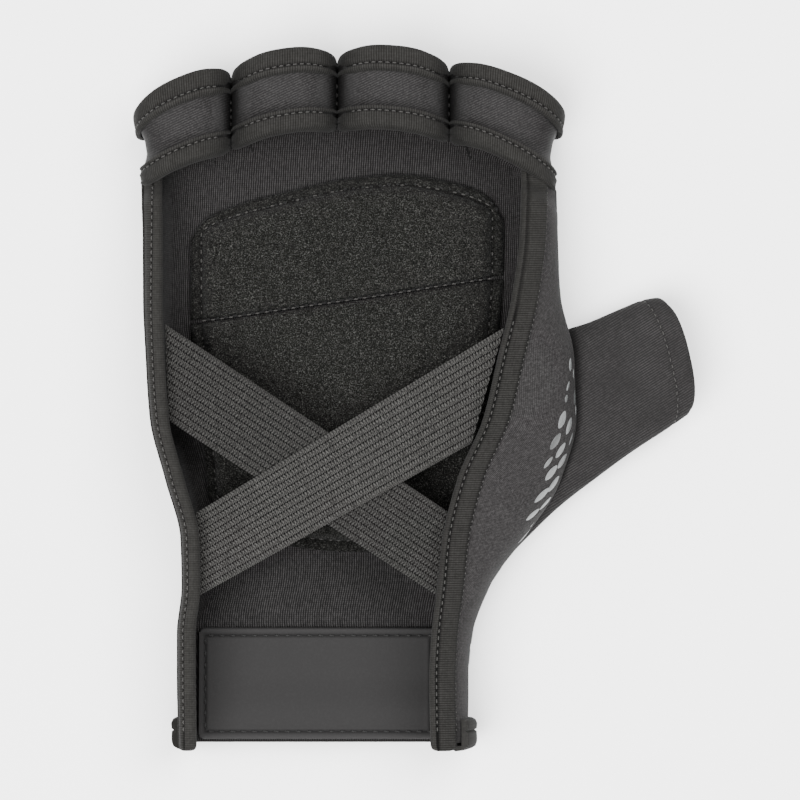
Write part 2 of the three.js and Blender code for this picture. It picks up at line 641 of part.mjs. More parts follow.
// The rectangular wrist tab, following the lining that it is sewn on
function wristTab() {
  const rowsY = [0, 0.03, 0.07, 0.35, 0.65, 0.93, 0.97, 1];
  const columnsX = [0, 0.02, 0.05, 0.5, 0.95, 0.98, 1];
  const low = planPoint(tabEdges.leftX, tabEdges.bottomAt);
  const high = planPoint(tabEdges.rightX, tabEdges.topAt);
  const surface = (lift, inset) => rowsY.map((up) => columnsX.map((side) => {
    const x = THREE.MathUtils.lerp(low.x + inset, high.x - inset, side);
    const y = THREE.MathUtils.lerp(low.y + inset, high.y - inset, up);
    const reach = Math.max(0, tabCorner - Math.min(x - low.x, high.x - x));
    const cut = tabCorner - Math.sqrt(Math.max(0, tabCorner ** 2 - reach ** 2));
    const kept = THREE.MathUtils.clamp(y, low.y + cut, high.y - cut);
    return new THREE.Vector3(x, kept, floorHeight(kept) + gap + lift);
  }));
  return patch(surface(tabThickness, tabBevel), surface(0, 0));
}

// Height of the middle of a strap. The left and right ends of both straps lie at the same heights.
function strapHeight(x, lifted) {
  const from = straps.under[0].x;
  const to = straps.under[2].x;
  const share = Math.min(1, THREE.MathUtils.mapLinear(x, from, to, 0, 1));
  const plain = THREE.MathUtils.lerp(strapRise.left, strapRise.right, share) * wallHeight;
  if (!lifted) return plain;
  const climbed = THREE.MathUtils.smoothstep(x, strapClimb.startX, strapClimb.fullX);
  const kept = 1 - THREE.MathUtils.smoothstep(x, strapClimb.easeX, strapClimb.endX);
  return plain + (strapThickness + gap) * Math.min(climbed, kept);
}

function strap(corners, lifted) {
  const half = strapThickness / 2;
  const profile = [[0, 0], [0.02, half], [0.35, half], [0.65, half], [0.98, half], [1, 0],
    [0.98, -half], [0.65, -half], [0.35, -half], [0.02, -half]];
  const steps = 16;
  const [leftTop, leftFoot, rightTop, rightFoot] = corners.map(({ x, at }) => new THREE.Vector2(x, at));
  const rings = Array.from({ length: steps + 1 }, (_, i) => {
    const top = leftTop.clone().lerp(rightTop, i / steps);
    const foot = leftFoot.clone().lerp(rightFoot, i / steps);
    return profile.map(([share, lift]) => {
      const shares = top.clone().lerp(foot, share);
      const place = planPoint(shares.x, shares.y);
      return new THREE.Vector3(place.x, place.y, strapHeight(shares.x, lifted) + lift);
    });
  });
  return loft(rings);
}

// Assembly
const glove = new THREE.Group();
glove.name = "weightlifting_glove";

function add(name, geometry, cloth) {
  const { color, roughness } = cloths[cloth];
  const material = new THREE.MeshStandardMaterial({ color, roughness, metalness: 0 });
  material.name = cloth;
  const mesh = new THREE.Mesh(geometry, material);
  mesh.name = name;
  glove.add(mesh);
}

const fingerSide = toManifold(loopCutter(gap));
const thumbPassage = toManifold(sleeveSolid(-sleeveWall));
const thumbRoom = toManifold(sleeveSolid(gap));

const shellCloth = toManifold(clothWall(wallPlaces, 0, shellWall))
  .subtract(fingerSide).subtract(thumbPassage);
add("hand_shell", fromManifold(shellCloth), "shell");
const liningCloth = toManifold(clothWall(wallPlaces, shellWall + liningGap, wallStack))
  .subtract(fingerSide).subtract(thumbRoom);
add("palm_lining", fromManifold(liningCloth), "lining");
const sleeveCloth = toManifold(sleeveHoop()).subtract(toManifold(filledBody(gap)));
add("thumb_sleeve", fromManifold(sleeveCloth), "shell");

add("ulnar_binding", fromManifold(toManifold(rimBinding(0, ulnarLegs)).subtract(fingerSide)), "binding");
add("radial_binding", fromManifold(toManifold(rimBinding(5, radialLegs)).subtract(fingerSide)), "binding");
add("wrist_hem", wristHem(), "binding");

const halfGroove = padGrooveWidth / 2;
add("palm_pad_upper", terryPad(padGroove, padTop, { lowLift: halfGroove }), "terry");
const lowerPad = terryPad(padBottom, padGroove, { taper: padFootTaper, highDrop: halfGroove });
add("palm_pad_lower", lowerPad, "terry");
add("wrist_tab", wristTab(), "tab");

loopNames.forEach((name, index) => {
  add(`finger_loop_${name}`, loopBand(index), "loop");
  add(`near_trim_${name}`, loopTrim(index, nearTrimWidth, false), "trim");
  add(`far_trim_${name}`, loopTrim(index, farTrimWidth, true), "trim");
});

add("strap_under", strap(straps.under, false), "elastic");
add("strap_over", strap(straps.over, true), "elastic");

export default glove;
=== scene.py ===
"""Weightlifting glove for the left hand, lying palm down, dressed around its CAD frame.

Shares and lengths are those of the part's source. Points are worked out in millimetres, and
make_mesh turns them into metres.
"""

import math

import bpy
import numpy as np
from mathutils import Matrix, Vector


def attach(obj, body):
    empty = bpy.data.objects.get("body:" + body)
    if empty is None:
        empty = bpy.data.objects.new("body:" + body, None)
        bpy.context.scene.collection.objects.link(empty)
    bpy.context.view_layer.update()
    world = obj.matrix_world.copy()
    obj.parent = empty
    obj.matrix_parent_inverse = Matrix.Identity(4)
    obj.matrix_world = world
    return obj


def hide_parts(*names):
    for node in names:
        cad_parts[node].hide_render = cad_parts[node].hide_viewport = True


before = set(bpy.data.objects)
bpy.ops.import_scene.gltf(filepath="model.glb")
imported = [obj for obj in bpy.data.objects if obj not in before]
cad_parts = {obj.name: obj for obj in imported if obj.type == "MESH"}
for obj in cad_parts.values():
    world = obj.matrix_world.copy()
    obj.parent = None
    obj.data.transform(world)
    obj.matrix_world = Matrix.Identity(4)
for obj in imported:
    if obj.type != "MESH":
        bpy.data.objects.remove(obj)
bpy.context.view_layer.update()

MM = 0.001

# Overall sizes
BODY_LENGTH = 132.0
WRIST_EDGE_Y = -74.0
PALM_BREADTH = 92.0
WALL_HEIGHT = 24.0

# Cloth thicknesses and gaps
SHELL_WALL = 1.0
LINING_WALL = 1.0
BINDING_WALL = 0.75
LOOP_WALL = 1.2
SLEEVE_WALL = 1.1
GAP = 0.3
LINING_GAP = 0.4
WALL_STACK = SHELL_WALL + LINING_GAP + LINING_WALL

# Cross-sections of the hand shell from the wrist edge to the finger end. at is a share of the
# body length, sideways columns are shares of the palm breadth, heights of the wall height.
BODY_KEYS = ("at", "left", "right", "left_edge", "right_edge", "left_rise", "right_rise",
             "waist", "sole", "left_turn", "right_turn")
BODY_SECTIONS = np.array([
    (0.000, -0.396, 0.276, -0.386, 0.209, 0.760, 0.820, 0.400, 0.105, 0.036, 0.058),
    (0.050, -0.398, 0.276, -0.387, 0.207, 0.780, 0.840, 0.410, 0.090, 0.036, 0.060),
    (0.110, -0.400, 0.277, -0.388, 0.206, 0.790, 0.860, 0.420, 0.020, 0.037, 0.062),
    (0.180, -0.400, 0.287, -0.388, 0.211, 0.820, 0.910, 0.425, 0.000, 0.038, 0.070),
    (0.257, -0.389, 0.328, -0.377, 0.224, 0.830, 0.950, 0.425, 0.000, 0.070, 0.100),
    (0.333, -0.392, 0.405, -0.379, 0.235, 0.825, 0.980, 0.430, 0.000, 0.080, 0.125),
    (0.432, -0.428, 0.496, -0.415, 0.270, 0.810, 1.000, 0.440, 0.000, 0.085, 0.140),
    (0.530, -0.463, 0.530, -0.450, 0.330, 0.790, 1.000, 0.450, 0.000, 0.090, 0.140),
    (0.629, -0.472, 0.524, -0.460, 0.364, 0.760, 0.975, 0.455, 0.000, 0.090, 0.130),
    (0.727, -0.478, 0.494, -0.465, 0.397, 0.720, 0.925, 0.460, 0.000, 0.090, 0.120),
    (0.826, -0.478, 0.486, -0.465, 0.416, 0.680, 0.860, 0.470, 0.040, 0.090, 0.110),
    (0.910, -0.481, 0.484, -0.466, 0.420, 0.650, 0.800, 0.490, 0.100, 0.090, 0.110),
    (1.000, -0.481, 0.480, -0.466, 0.420, 0.640, 0.780, 0.530, 0.150, 0.090, 0.100),
])
WIDE_KEYS = ("left", "right", "left_edge", "right_edge", "left_turn", "right_turn")

# In the plan tables x is a share of the palm breadth from the middle of the palm, and at a share
# of the body length from the wrist edge.

# Seams beside the finger loops, from the outer side of the little finger: x and at of the near
# end, then of the far end
LOOP_SEAMS = np.array([
    (-0.493, 0.907, -0.514, 1.024),
    (-0.278, 0.967, -0.278, 1.091),
    (-0.030, 0.999, -0.030, 1.115),
    (0.232, 0.980, 0.232, 1.101),
    (0.484, 0.894, 0.510, 1.028),
])
LOOP_NAMES = ("little", "ring", "middle", "index")

# Side view of a finger loop: along, swell, middle height and half height
LOOP_PROFILE = np.array([
    (0.00, -0.015, 0.460, 0.340),
    (0.24, -0.015, 0.450, 0.345),
    (0.42, -0.050, 0.435, 0.360),
    (0.60, -0.045, 0.425, 0.365),
    (0.78, -0.010, 0.420, 0.370),
    (1.00, 0.000, 0.420, 0.367),
])
LOOP_LEAN = 0.25
NEAR_CROWN = 1.3
FAR_CROWN = 1.6
NEAR_PULL = (2.7, 1.8, 1.8, 1.1)
NEAR_TRIM_WIDTH = 5.0
TRIM_WALL = 1.0
TRIM_BEAD = 1.25
SEAM_PINCH = 0.75
TRIM_WRAP = 0.12

# Thumb sleeve from inside the palm to its mouth: x and at of the upper edge and of the lower
# edge, then the middle height, the half height and the crown
SLEEVE_SECTIONS = np.array([
    (0.400, 0.623, 0.250, 0.212, 0.265, 0.200, 0.000),
    (0.500, 0.674, 0.415, 0.335, 0.270, 0.215, 0.000),
    (0.560, 0.688, 0.500, 0.391, 0.275, 0.240, 0.005),
    (0.635, 0.709, 0.585, 0.437, 0.285, 0.255, 0.012),
    (0.690, 0.724, 0.685, 0.487, 0.290, 0.265, 0.022),
    (0.717, 0.727, 0.770, 0.526, 0.295, 0.270, 0.030),
    (0.728, 0.722, 0.790, 0.536, 0.295, 0.265, 0.036),
])
SLEEVE_HEM = 4.4
HEM_GROOVE = 0.15
MOUTH_FOLD = 0.45

# Straps: x and at of the left top, left foot, right top and right foot
STRAPS = {
    "under": ((-0.415, 0.676), (-0.408, 0.519), (0.222, 0.382), (0.210, 0.239)),
    "over": ((-0.342, 0.384), (-0.340, 0.246), (0.343, 0.671), (0.268, 0.483)),
}
STRAP_THICKNESS = 1.2
STRAP_RISE = (0.638, 0.767)
STRAP_CLIMB = (-0.359, -0.239, 0.141, 0.271)
STRAP_RIBS = 12
STRAP_TUCK = 1.8
STRAP_ROWS = 140
CORD_COLUMNS = 8
CORD_RELIEF = 0.12
STRAP_EDGE_SHARE = 0.02

# Terry patch: across is a share of its width, then at of the top edge, the groove and the bottom
PAD_SIDES = (-0.376, 0.360)
PAD_EDGES = np.array([
    (0.00, 0.822, 0.688, 0.449),
    (0.05, 0.857, 0.690, 0.407),
    (0.15, 0.879, 0.697, 0.358),
    (0.32, 0.902, 0.710, 0.320),
    (0.50, 0.922, 0.723, 0.310),
    (0.67, 0.929, 0.736, 0.313),
    (0.84, 0.915, 0.750, 0.341),
    (0.95, 0.892, 0.758, 0.393),
    (1.00, 0.853, 0.761, 0.442),
])
PAD_GROOVE_WIDTH = 0.74
PAD_FOOT_TAPER = 0.055
PAD_EDGE_THICKNESS = 1.1
PAD_THICKNESS = 3.0
PAD_BORDER = 2.4
PAD_RISE = 2.0
PAD_CLEAR = GAP + 0.05
PAD_CRUMB = 0.17
PAD_CRUMB_LIMIT = 0.35
UPPER_HEIGHT = 26.0
LOWER_HEIGHT = 50.0
PAD_THREAD_LIFT = 0.05
GROOVE_THREAD_DEPTH = 0.35
# Shift of the painted stitch shadows from the patch's stitch rows
STITCH_SHADOW_SHIFT = (0.9, 0.25, 0.02)

# Wrist tab: x of its left and right edge, at of its bottom and top edge
TAB_SIDES = (-0.359, 0.207)
TAB_ENDS = (0.005, 0.187)
TAB_THICKNESS = 1.5
TAB_CORNER = 1.6
TAB_SEAM = 1.7
TAB_SEAM_END = 0.5
TAB_SEAM_DEPTH = 0.28
TAB_COLUMNS = 150
TAB_ROWS = 74

# Body, and its rims under the bindings. Places run round a section of the body, from its left rim
# to its right rim: 1 and 4 are the waists of the walls, 2 to 3 is the flat sole. The columns
# are counted on the left wall, on the sole and on the right wall.
LEFT_RIM, RIGHT_RIM = 0, 5
BODY_COLUMN_COUNTS = (50, 66, 100)
BODY_ROW_COUNT = 170
WRIST_START = 0.003
LOOP_OVERLAP = 0.7
RIM_PRESS = 0.2
DIVE = 3.0
LINING_TONGUE = 9.0

# Bindings and wrist hem. A bead is the stitched furrow of a binding, and a foot its wrist end.
# Stitch rows start and stop at shares of the body length.
ULNAR_LEGS = {"outer": 3.6, "inner": 3.0}
RADIAL_LEGS = {"outer": 3.8, "inner": 3.0}
HEM = {"outer_leg": 5.5, "wall": 1.7, "clear_left": 4.4, "clear_right": 5.4, "lip": 1.2,
       "flat_reach": 0.33, "lift": 0.05}
HEM_ROWS = 240
RIM_STACK = (1 - RIM_PRESS) * WALL_STACK
RIM_GAP = 0.12
BINDING_GAP = 0.1
INNER_BINDING = 0.7
ROLL_STEPS = 34
INNER_STEPS = 12
BINDING_ROWS = 260
BINDING_TUCK = 2.2
FOOT_ROUND = 1.7
FOOT_CENTRE = (-1.0, -0.7)
# The painted shade of the radial binding's furrow fades by VALLEY_FADE between these shares; its stitch row
# stops at the first.
VALLEY_ENDS = (0.69, 0.73)
VALLEY_FADE = 0.6
RADIAL_BEAD = 0.45
ULNAR_BEAD = -1.7
ULNAR_SEAM = 0.75
SEAM_SINK = 0.3
SEAM_SPREAD = 0.1
ROW_START = 0.02
ROW_STOP = 0.01
LINING_ROW = {"down": 4.4, "stop": 0.62}

# Sections of the trims: distance from the edge and outward from the loop
FAR_TRIM = np.array([
    (4.6, 0.0), (4.6, 0.5), (4.47, 0.95), (4.22, 1.2), (3.95, 1.25), (3.68, 1.12), (3.5, 0.8),
    (3.38, 0.62), (3.22, 0.66), (3.0, 0.84), (2.6, 0.98), (2.0, 1.03), (1.4, 1.02), (0.9, 0.95),
    (0.45, 0.72), (0.14, 0.2), (0.0, -0.9), (0.14, -1.9), (0.5, -2.6), (1.0, -2.8),
    (2.0, -2.8), (2.95, -2.8), (2.95, -1.8), (2.0, -1.8), (1.0, -1.8), (1.0, 0.0), (2.8, 0.0),
])
NEAR_TRIM = np.array([
    (5.0, 0.0), (5.0, 0.5), (4.87, 0.95), (4.62, 1.2), (4.38, 1.25), (4.12, 1.12), (3.95, 0.82),
    (3.82, 0.7), (3.66, 0.76), (3.4, 0.93), (3.0, 1.0), (2.3, 1.02), (1.6, 1.0), (0.95, 0.93),
    (0.45, 0.7), (0.14, 0.2), (0.0, -0.9), (0.14, -1.9), (0.5, -2.6), (1.0, -2.8),
    (2.0, -2.8), (3.2, -2.8), (3.2, -1.8), (2.0, -1.8), (1.0, -1.8), (1.0, 0.0), (3.0, 0.0),
])
FAR_STITCH, NEAR_STITCH = (3.3, 0.72), (3.78, 0.8)
WEB_FILL = 1.85
TRIM_TOUCH = 0.55
NEAR_TRIM_SHARE = 0.9
SEAM_NOTCH = 3.2
END_BULGE = 0.55

# Grip print. Pointed ovals that show beyond the fold of the thumb side: x and y in millimetres,
# then length, width, how far they lean to the right in degrees, and how bright they are.
GRIP_OVALS = np.array([
    (47.3, 7.5, 2.9, 1.2, 8, 1.0),
    (48.0, 5.6, 2.2, 0.5, 5, 0.4),
    (46.8, 2.9, 2.4, 0.6, 28, 0.8),
    (46.4, 0.2, 1.8, 1.0, 20, 0.5),
    (48.3, 0.4, 3.4, 1.5, 10, 0.35),
    (48.5, -2.3, 2.2, 0.7, 5, 0.7),
    (45.5, -4.4, 4.3, 1.9, 22, 1.0),
    (47.0, -5.7, 4.0, 1.8, 20, 1.0),
    (47.5, -8.4, 2.9, 0.8, 14, 0.4),
    (44.1, -8.9, 4.1, 1.9, 22, 0.45),
    (45.2, -10.9, 3.8, 1.7, 25, 1.0),
    (45.6, -13.2, 3.8, 1.9, 28, 0.75),
    (42.5, -13.5, 2.9, 1.1, 24, 0.7),
    (43.2, -15.7, 4.0, 1.9, 30, 1.0),
    (43.8, -18.1, 4.2, 1.9, 28, 0.9),
    (41.2, -20.5, 4.2, 1.9, 31, 1.0),
    (42.0, -22.3, 3.9, 1.6, 33, 1.0),
    (39.2, -24.7, 3.8, 1.9, 36, 1.0),
    (39.6, -26.4, 3.9, 1.3, 40, 1.0),
    (37.5, -29.3, 5.0, 0.8, 38, 0.8),
])
PRINT_HEIGHT = 0.12
PALM_CELL = (3.6, 1.6, 0)
PALM_CELL_STEP = 3.0
PALM_ROWS = (0.14, 0.94, 0.034)
PALM_PLACES = (2.0, 3.95)

# View and light. A light's place is in metres and its power in watts.
FRAME_WIDTH = 172.0
SENSOR_WIDTH = 36.0
AIM = (10.75, -0.1, 13.0)
DISTANCE = 1600.0
FLOOR_REACH = 900.0
FLOOR_HEIGHT = -0.2
LIGHTS = (("key", (-0.4, -0.35, 1.15), 50), ("fill", (0.5, 0.45, 1.1), 30))
LIGHT_SIZE = 1.0
SKY_LIGHT = 1.2
CLOTH_LIGHT = 0.25


# Shapes

def smooth_column(places, values):
    """A curve through a column of a table that never overshoots its rows."""
    slopes = np.diff(values) / np.diff(places)
    tangents = np.concatenate([slopes[:1], np.zeros(len(values) - 2), slopes[-1:]])
    for i in range(1, len(values) - 1):
        before, after = slopes[i - 1], slopes[i]
        if before * after > 0:
            tangents[i] = 2 * before * after / (before + after)

    def at(place):
        place = np.clip(place, places[0], places[-1])
        i = np.clip(np.searchsorted(places, place) - 1, 0, len(places) - 2)
        span = places[i + 1] - places[i]
        t = (place - places[i]) / span
        return ((2 * t**3 - 3 * t**2 + 1) * values[i] + (t**3 - 2 * t**2 + t) * span * tangents[i]
                + (3 * t**2 - 2 * t**3) * values[i + 1] + (t**3 - t**2) * span * tangents[i + 1])

    return at


def smoothstep(value, low, high):
    t = np.clip((value - low) / (high - low), 0, 1)
    return t * t * (3 - 2 * t)


def lerp(start, end, t):
    return start + (end - start) * t


def plateau(value, start, full, ease, end):
    """0, then 1 between full and ease, then 0 again."""
    return smoothstep(value, start, full) * (1 - smoothstep(value, ease, end))


def unit(vectors):
    return vectors / np.linalg.norm(vectors, axis=-1, keepdims=True)


def dip(distance, width):
    """1 on a line and fading to 0 within about twice the width of it."""
    return np.exp(-(distance / width) ** 2)


def stacked(x, y, z):
    return np.stack(np.broadcast_arrays(x, y, z), axis=-1)


def plan(x, at):
    """A place in plan in millimetres from its shares."""
    return np.stack(np.broadcast_arrays(x * PALM_BREADTH, WRIST_EDGE_Y + at * BODY_LENGTH), axis=-1)


BODY_COLUMNS = {key: smooth_column(BODY_SECTIONS[:, 0], BODY_SECTIONS[:, i])
                for i, key in enumerate(BODY_KEYS) if key != "at"}


def body_row(share):
    return {key: column(share) * (PALM_BREADTH if key in WIDE_KEYS else WALL_HEIGHT)
            for key, column in BODY_COLUMNS.items()}


def wall_curve(side, waist, edge, rise, fullness, t):
    t = np.clip(t, 0, 1)
    keep, bend = (1 - t) ** 2, 2 * t * (1 - t)
    high = waist + fullness * (rise - waist)
    return (keep + bend) * side + t * t * edge, keep * waist + bend * high + t * t * rise


def bottom_bend(side, inward, waist, sole, t):
    t = np.clip(t, 0, 1)
    drop = waist - sole
    bend = np.minimum(np.abs(inward), 0.9 * drop)
    straight = (drop - bend) / (drop + 0.5 * bend)
    angle = np.clip((t - straight) / (1 - straight), 0, 1) * math.pi / 2
    fallen = np.minimum(t / straight, 1) * (drop - bend)
    return side + inward * (1 - np.cos(angle)), waist - fallen - bend * np.sin(angle)


def section_point(row, place):
    """x and z of the shell's outer face: place is 0 at the left rim and 5 at the right rim."""
    parts = (
        wall_curve(row["left"], row["waist"], row["left_edge"], row["left_rise"], 0.6, 1 - place),
        bottom_bend(row["left"], row["left_turn"], row["waist"], row["sole"], place - 1),
        (lerp(row["left"] + row["left_turn"], row["right"] - row["right_turn"], place - 2),
         row["sole"] + 0 * place),
        bottom_bend(row["right"], -row["right_turn"], row["waist"], row["sole"], 4 - place),
        wall_curve(row["right"], row["waist"], row["right_edge"], row["right_rise"], 0.9, place - 4),
    )
    ranges = [place <= 1, place <= 2, place <= 3, place <= 4]
    return tuple(np.select(ranges, [part[i] for part in parts[:4]], parts[4][i]) for i in (0, 1))


def wall_point(share, place, outward):
    """A point of the body's wall, moved outward from the outer face of the shell."""
    share, place = np.broadcast_arrays(np.asarray(share, float), np.asarray(place, float))
    row = body_row(share)
    step = 0.004
    x0, z0 = section_point(row, np.maximum(place - step, 0))
    x1, z1 = section_point(row, np.minimum(place + step, 5))
    length = np.hypot(x1 - x0, z1 - z0)
    x, z = section_point(row, place)
    return stacked(x + (z1 - z0) / length * outward, WRIST_EDGE_Y + share * BODY_LENGTH,
                   z - (x1 - x0) / length * outward)


def places_below_rim(shares, rim, distances):
    """Places on each section that lie the given distances down the wall from a rim."""
    samples = np.abs(rim - np.linspace(0, 2.0, 160))
    x, z = section_point(body_row(shares[:, None] + 0 * samples), samples[None] + 0 * shares[:, None])
    walked = np.cumsum(np.hypot(np.diff(x, axis=1), np.diff(z, axis=1)), axis=1)
    walked = np.concatenate([np.zeros((len(shares), 1)), walked], axis=1)
    return np.array([np.interp(distances, row, samples) for row in walked])


SEAM_NEAR = plan(LOOP_SEAMS[:, 0], LOOP_SEAMS[:, 1])
SEAM_FAR = plan(LOOP_SEAMS[:, 2], LOOP_SEAMS[:, 3])


def loop_plane(x, z):
    """y of the leaned plane where the finger loops begin."""
    left, right = SEAM_NEAR[1] - SEAM_NEAR[0], SEAM_NEAR[4] - SEAM_NEAR[3]
    y = np.interp(x, SEAM_NEAR[:, 0], SEAM_NEAR[:, 1])
    y = y + np.minimum(x - SEAM_NEAR[0, 0], 0) * left[1] / left[0]
    y = y + np.maximum(x - SEAM_NEAR[4, 0], 0) * right[1] / right[0]
    return y + LOOP_LEAN * (z - LOOP_PROFILE[0, 2] * WALL_HEIGHT)


def finger_end(places, outward):
    """Shares of the body length where the wall stops at the finger loops."""
    share = np.full(np.shape(places), 0.9)
    for _ in range(8):
        point = wall_point(share, places, outward)
        share = (loop_plane(point[..., 0], point[..., 2]) - GAP - WRIST_EDGE_Y) / BODY_LENGTH
    return np.minimum(share, 1.0)


LOOP_COLUMNS = [smooth_column(LOOP_PROFILE[:, 0], LOOP_PROFILE[:, i]) for i in (1, 2, 3)]


def loop_length(index):
    return (SEAM_FAR - SEAM_NEAR)[index:index + 2, 1].mean()


def loop_point(index, distance, angle, outward):
    """A point of a finger loop at a distance from its near edge."""
    along = np.asarray(distance, float) / loop_length(index)
    along, angle, outward = np.broadcast_arrays(along, angle, outward)
    swell, middle, rise = (column(along) * WALL_HEIGHT for column in LOOP_COLUMNS)
    left, right = (lerp(SEAM_NEAR[k], SEAM_FAR[k], along[..., None]) for k in (index, index + 1))
    across = unit(right - left)
    if index == 0:
        left = left - across * swell[..., None]
    if index == 3:
        right = right + across * swell[..., None]
    room = GAP / 2 + 0.05 + TRIM_BEAD * TRIM_WALL * SEAM_PINCH
    half = np.linalg.norm(right - left, axis=-1) / 2 - room + outward * SEAM_PINCH
    centre = (left + right) / 2
    sine, cosine = np.sin(angle), np.cos(angle)
    power = np.where(sine > 0, 2 / 2.5, 2 / 3.2)
    side = np.sign(cosine) * np.abs(cosine) ** power * half
    up = np.sign(sine) * np.abs(sine) ** power * (rise + swell + outward)
    crown = lerp(NEAR_CROWN, FAR_CROWN, along) * np.maximum(0, sine) ** 2
    crown = crown - NEAR_PULL[index] * (1 - along**2) * np.maximum(0, sine) ** 0.6
    return stacked(centre[..., 0] + across[..., 0] * side,
                   centre[..., 1] + across[..., 1] * side + LOOP_LEAN * up + crown, middle + up)


SLEEVE_COLUMNS = [smooth_column(np.linspace(0, 1, len(SLEEVE_SECTIONS)), column)
                  for column in SLEEVE_SECTIONS.T]


def sleeve_frame(along):
    """Centre, direction across, width, middle height, half height and bulge of the sleeve."""
    ux, ua, lx, la, middle, rise, crown = (column(along) for column in SLEEVE_COLUMNS)
    upper, lower = plan(ux, ua), plan(lx, la)
    across = upper - lower
    width = np.linalg.norm(across, axis=-1)
    return (upper + lower) / 2, across / width[..., None], width, middle * WALL_HEIGHT, rise * WALL_HEIGHT, \
        crown * PALM_BREADTH


def sleeve_point(along, angle, outward):
    along, angle, outward = np.broadcast_arrays(np.asarray(along, float), angle, outward)
    centre, across, width, middle, rise, crown = sleeve_frame(along)
    sine, cosine = np.sin(angle), np.cos(angle)
    side = np.sign(cosine) * np.abs(cosine) ** 0.8 * (width / 2 + outward)
    up = np.sign(sine) * np.abs(sine) ** 0.8 * (rise + outward)
    bulge = crown * np.maximum(0, sine)
    return stacked(centre[..., 0] + across[..., 0] * side + across[..., 1] * bulge,
                   centre[..., 1] + across[..., 1] * side - across[..., 0] * bulge, middle + up)


def inside_sleeve(points, outward):
    """Whether points lie inside the sleeve's wall grown by a distance."""
    alongs = np.linspace(0, 1, 80)
    centre, across, width, middle, rise, _ = sleeve_frame(alongs)
    flat = points.reshape(-1, 3)
    offset = flat[:, None, :2] - centre[None]
    ahead = offset[..., 0] * across[:, 1] - offset[..., 1] * across[:, 0]
    nearest = np.abs(ahead).argmin(axis=1)
    rows = np.arange(len(flat))
    side = (offset * across[None]).sum(axis=-1)[rows, nearest] / (width[nearest] / 2 + outward)
    up = (flat[:, 2] - middle[nearest]) / (rise[nearest] + outward)
    near_plane = np.abs(ahead[rows, nearest]) < 1.5
    return (near_plane & (np.abs(side) ** 2.5 + np.abs(up) ** 2.5 < 1)).reshape(points.shape[:-1])


def inside_body(points, grown):
    """Whether points lie inside the body's section grown by a distance."""
    flat = points.reshape(-1, 3)
    share = (flat[:, 1] - WRIST_EDGE_Y) / BODY_LENGTH
    section = wall_point(np.clip(share, 0, 1)[:, None], np.linspace(0, 5, 100)[None], grown)
    x0, z0 = section[..., 0], section[..., 2]
    x1, z1 = np.roll(x0, -1, axis=1), np.roll(z0, -1, axis=1)
    level = flat[:, 2][:, None]
    crossed = (z0 > level) != (z1 > level)
    rise = np.where(z1 == z0, 1, z1 - z0)
    crossing_x = x0 + (level - z0) / rise * (x1 - x0)
    return ((crossed & (crossing_x > flat[:, 0][:, None])).sum(axis=1) % 2 == 1).reshape(points.shape[:-1])


def floor_height(y):
    """Height of the lining's inner face over the middle of the sole."""
    share = np.clip((y - WRIST_EDGE_Y) / BODY_LENGTH, 0, 1)
    return BODY_COLUMNS["sole"](share) * WALL_HEIGHT + WALL_STACK


def strap_height(x, lifted):
    """Height of the middle of a strap over a plan share x."""
    left, right = STRAPS["under"][0][0], STRAPS["under"][2][0]
    share = np.minimum(1, (x - left) / (right - left))
    plain = lerp(STRAP_RISE[0], STRAP_RISE[1], share) * WALL_HEIGHT
    if not lifted:
        return plain
    start, full, ease, end = STRAP_CLIMB
    climbed = np.minimum(smoothstep(x, start, full), 1 - smoothstep(x, ease, end))
    return plain + (STRAP_THICKNESS + GAP) * climbed


def ripple(points, length, height, seed):
    """Small even unevenness of cloth, the same every time: a sum of slanting waves."""
    random = np.random.default_rng(seed)
    total = np.zeros(points.shape[:-1])
    for _ in range(6):
        direction = unit(random.normal(size=3))
        phase = random.uniform(0, 2 * math.pi)
        stretch = random.uniform(0.7, 1.5)
        total += np.sin(points @ direction * (2 * math.pi * stretch / length) + phase)
    return total / 6 * height


# Mesh making

def grid_faces(rows, columns, joined_rows=False, joined_columns=False):
    """Quads of a grid of points, whose last row or column may join its first."""
    i = np.arange(rows if joined_rows else rows - 1)
    j = np.arange(columns if joined_columns else columns - 1)
    i, j = (axis.ravel() for axis in np.meshgrid(i, j, indexing="ij"))
    i2, j2 = (i + 1) % rows, (j + 1) % columns
    return np.stack([i * columns + j, i * columns + j2, i2 * columns + j2, i2 * columns + j], axis=-1)


def walked(points, axis):
    """Distance along one axis of a grid of points."""
    steps = np.cumsum(np.linalg.norm(np.diff(points, axis=axis), axis=-1), axis=axis)
    return np.pad(steps, [(1, 0) if a == axis else (0, 0) for a in range(2)])


def path_run(path):
    """Distance along a path of points."""
    return np.concatenate([[0], np.cumsum(np.linalg.norm(np.diff(path, axis=0), axis=1))])


def signed_volume(points, quads, caps):
    """Six times the volume inside closed faces, negative where they face inward."""
    fans = [(cap[0], cap[k], cap[k + 1]) for cap in caps for k in range(1, len(cap) - 1)]
    triangles = np.concatenate([quads[:, [0, 1, 2]], quads[:, [0, 2, 3]], np.array(fans, int).reshape(-1, 3)])
    a, b, c = (points[triangles[:, k]] for k in range(3))
    return float(np.einsum("ij,ij->i", a, np.cross(b, c)).sum())


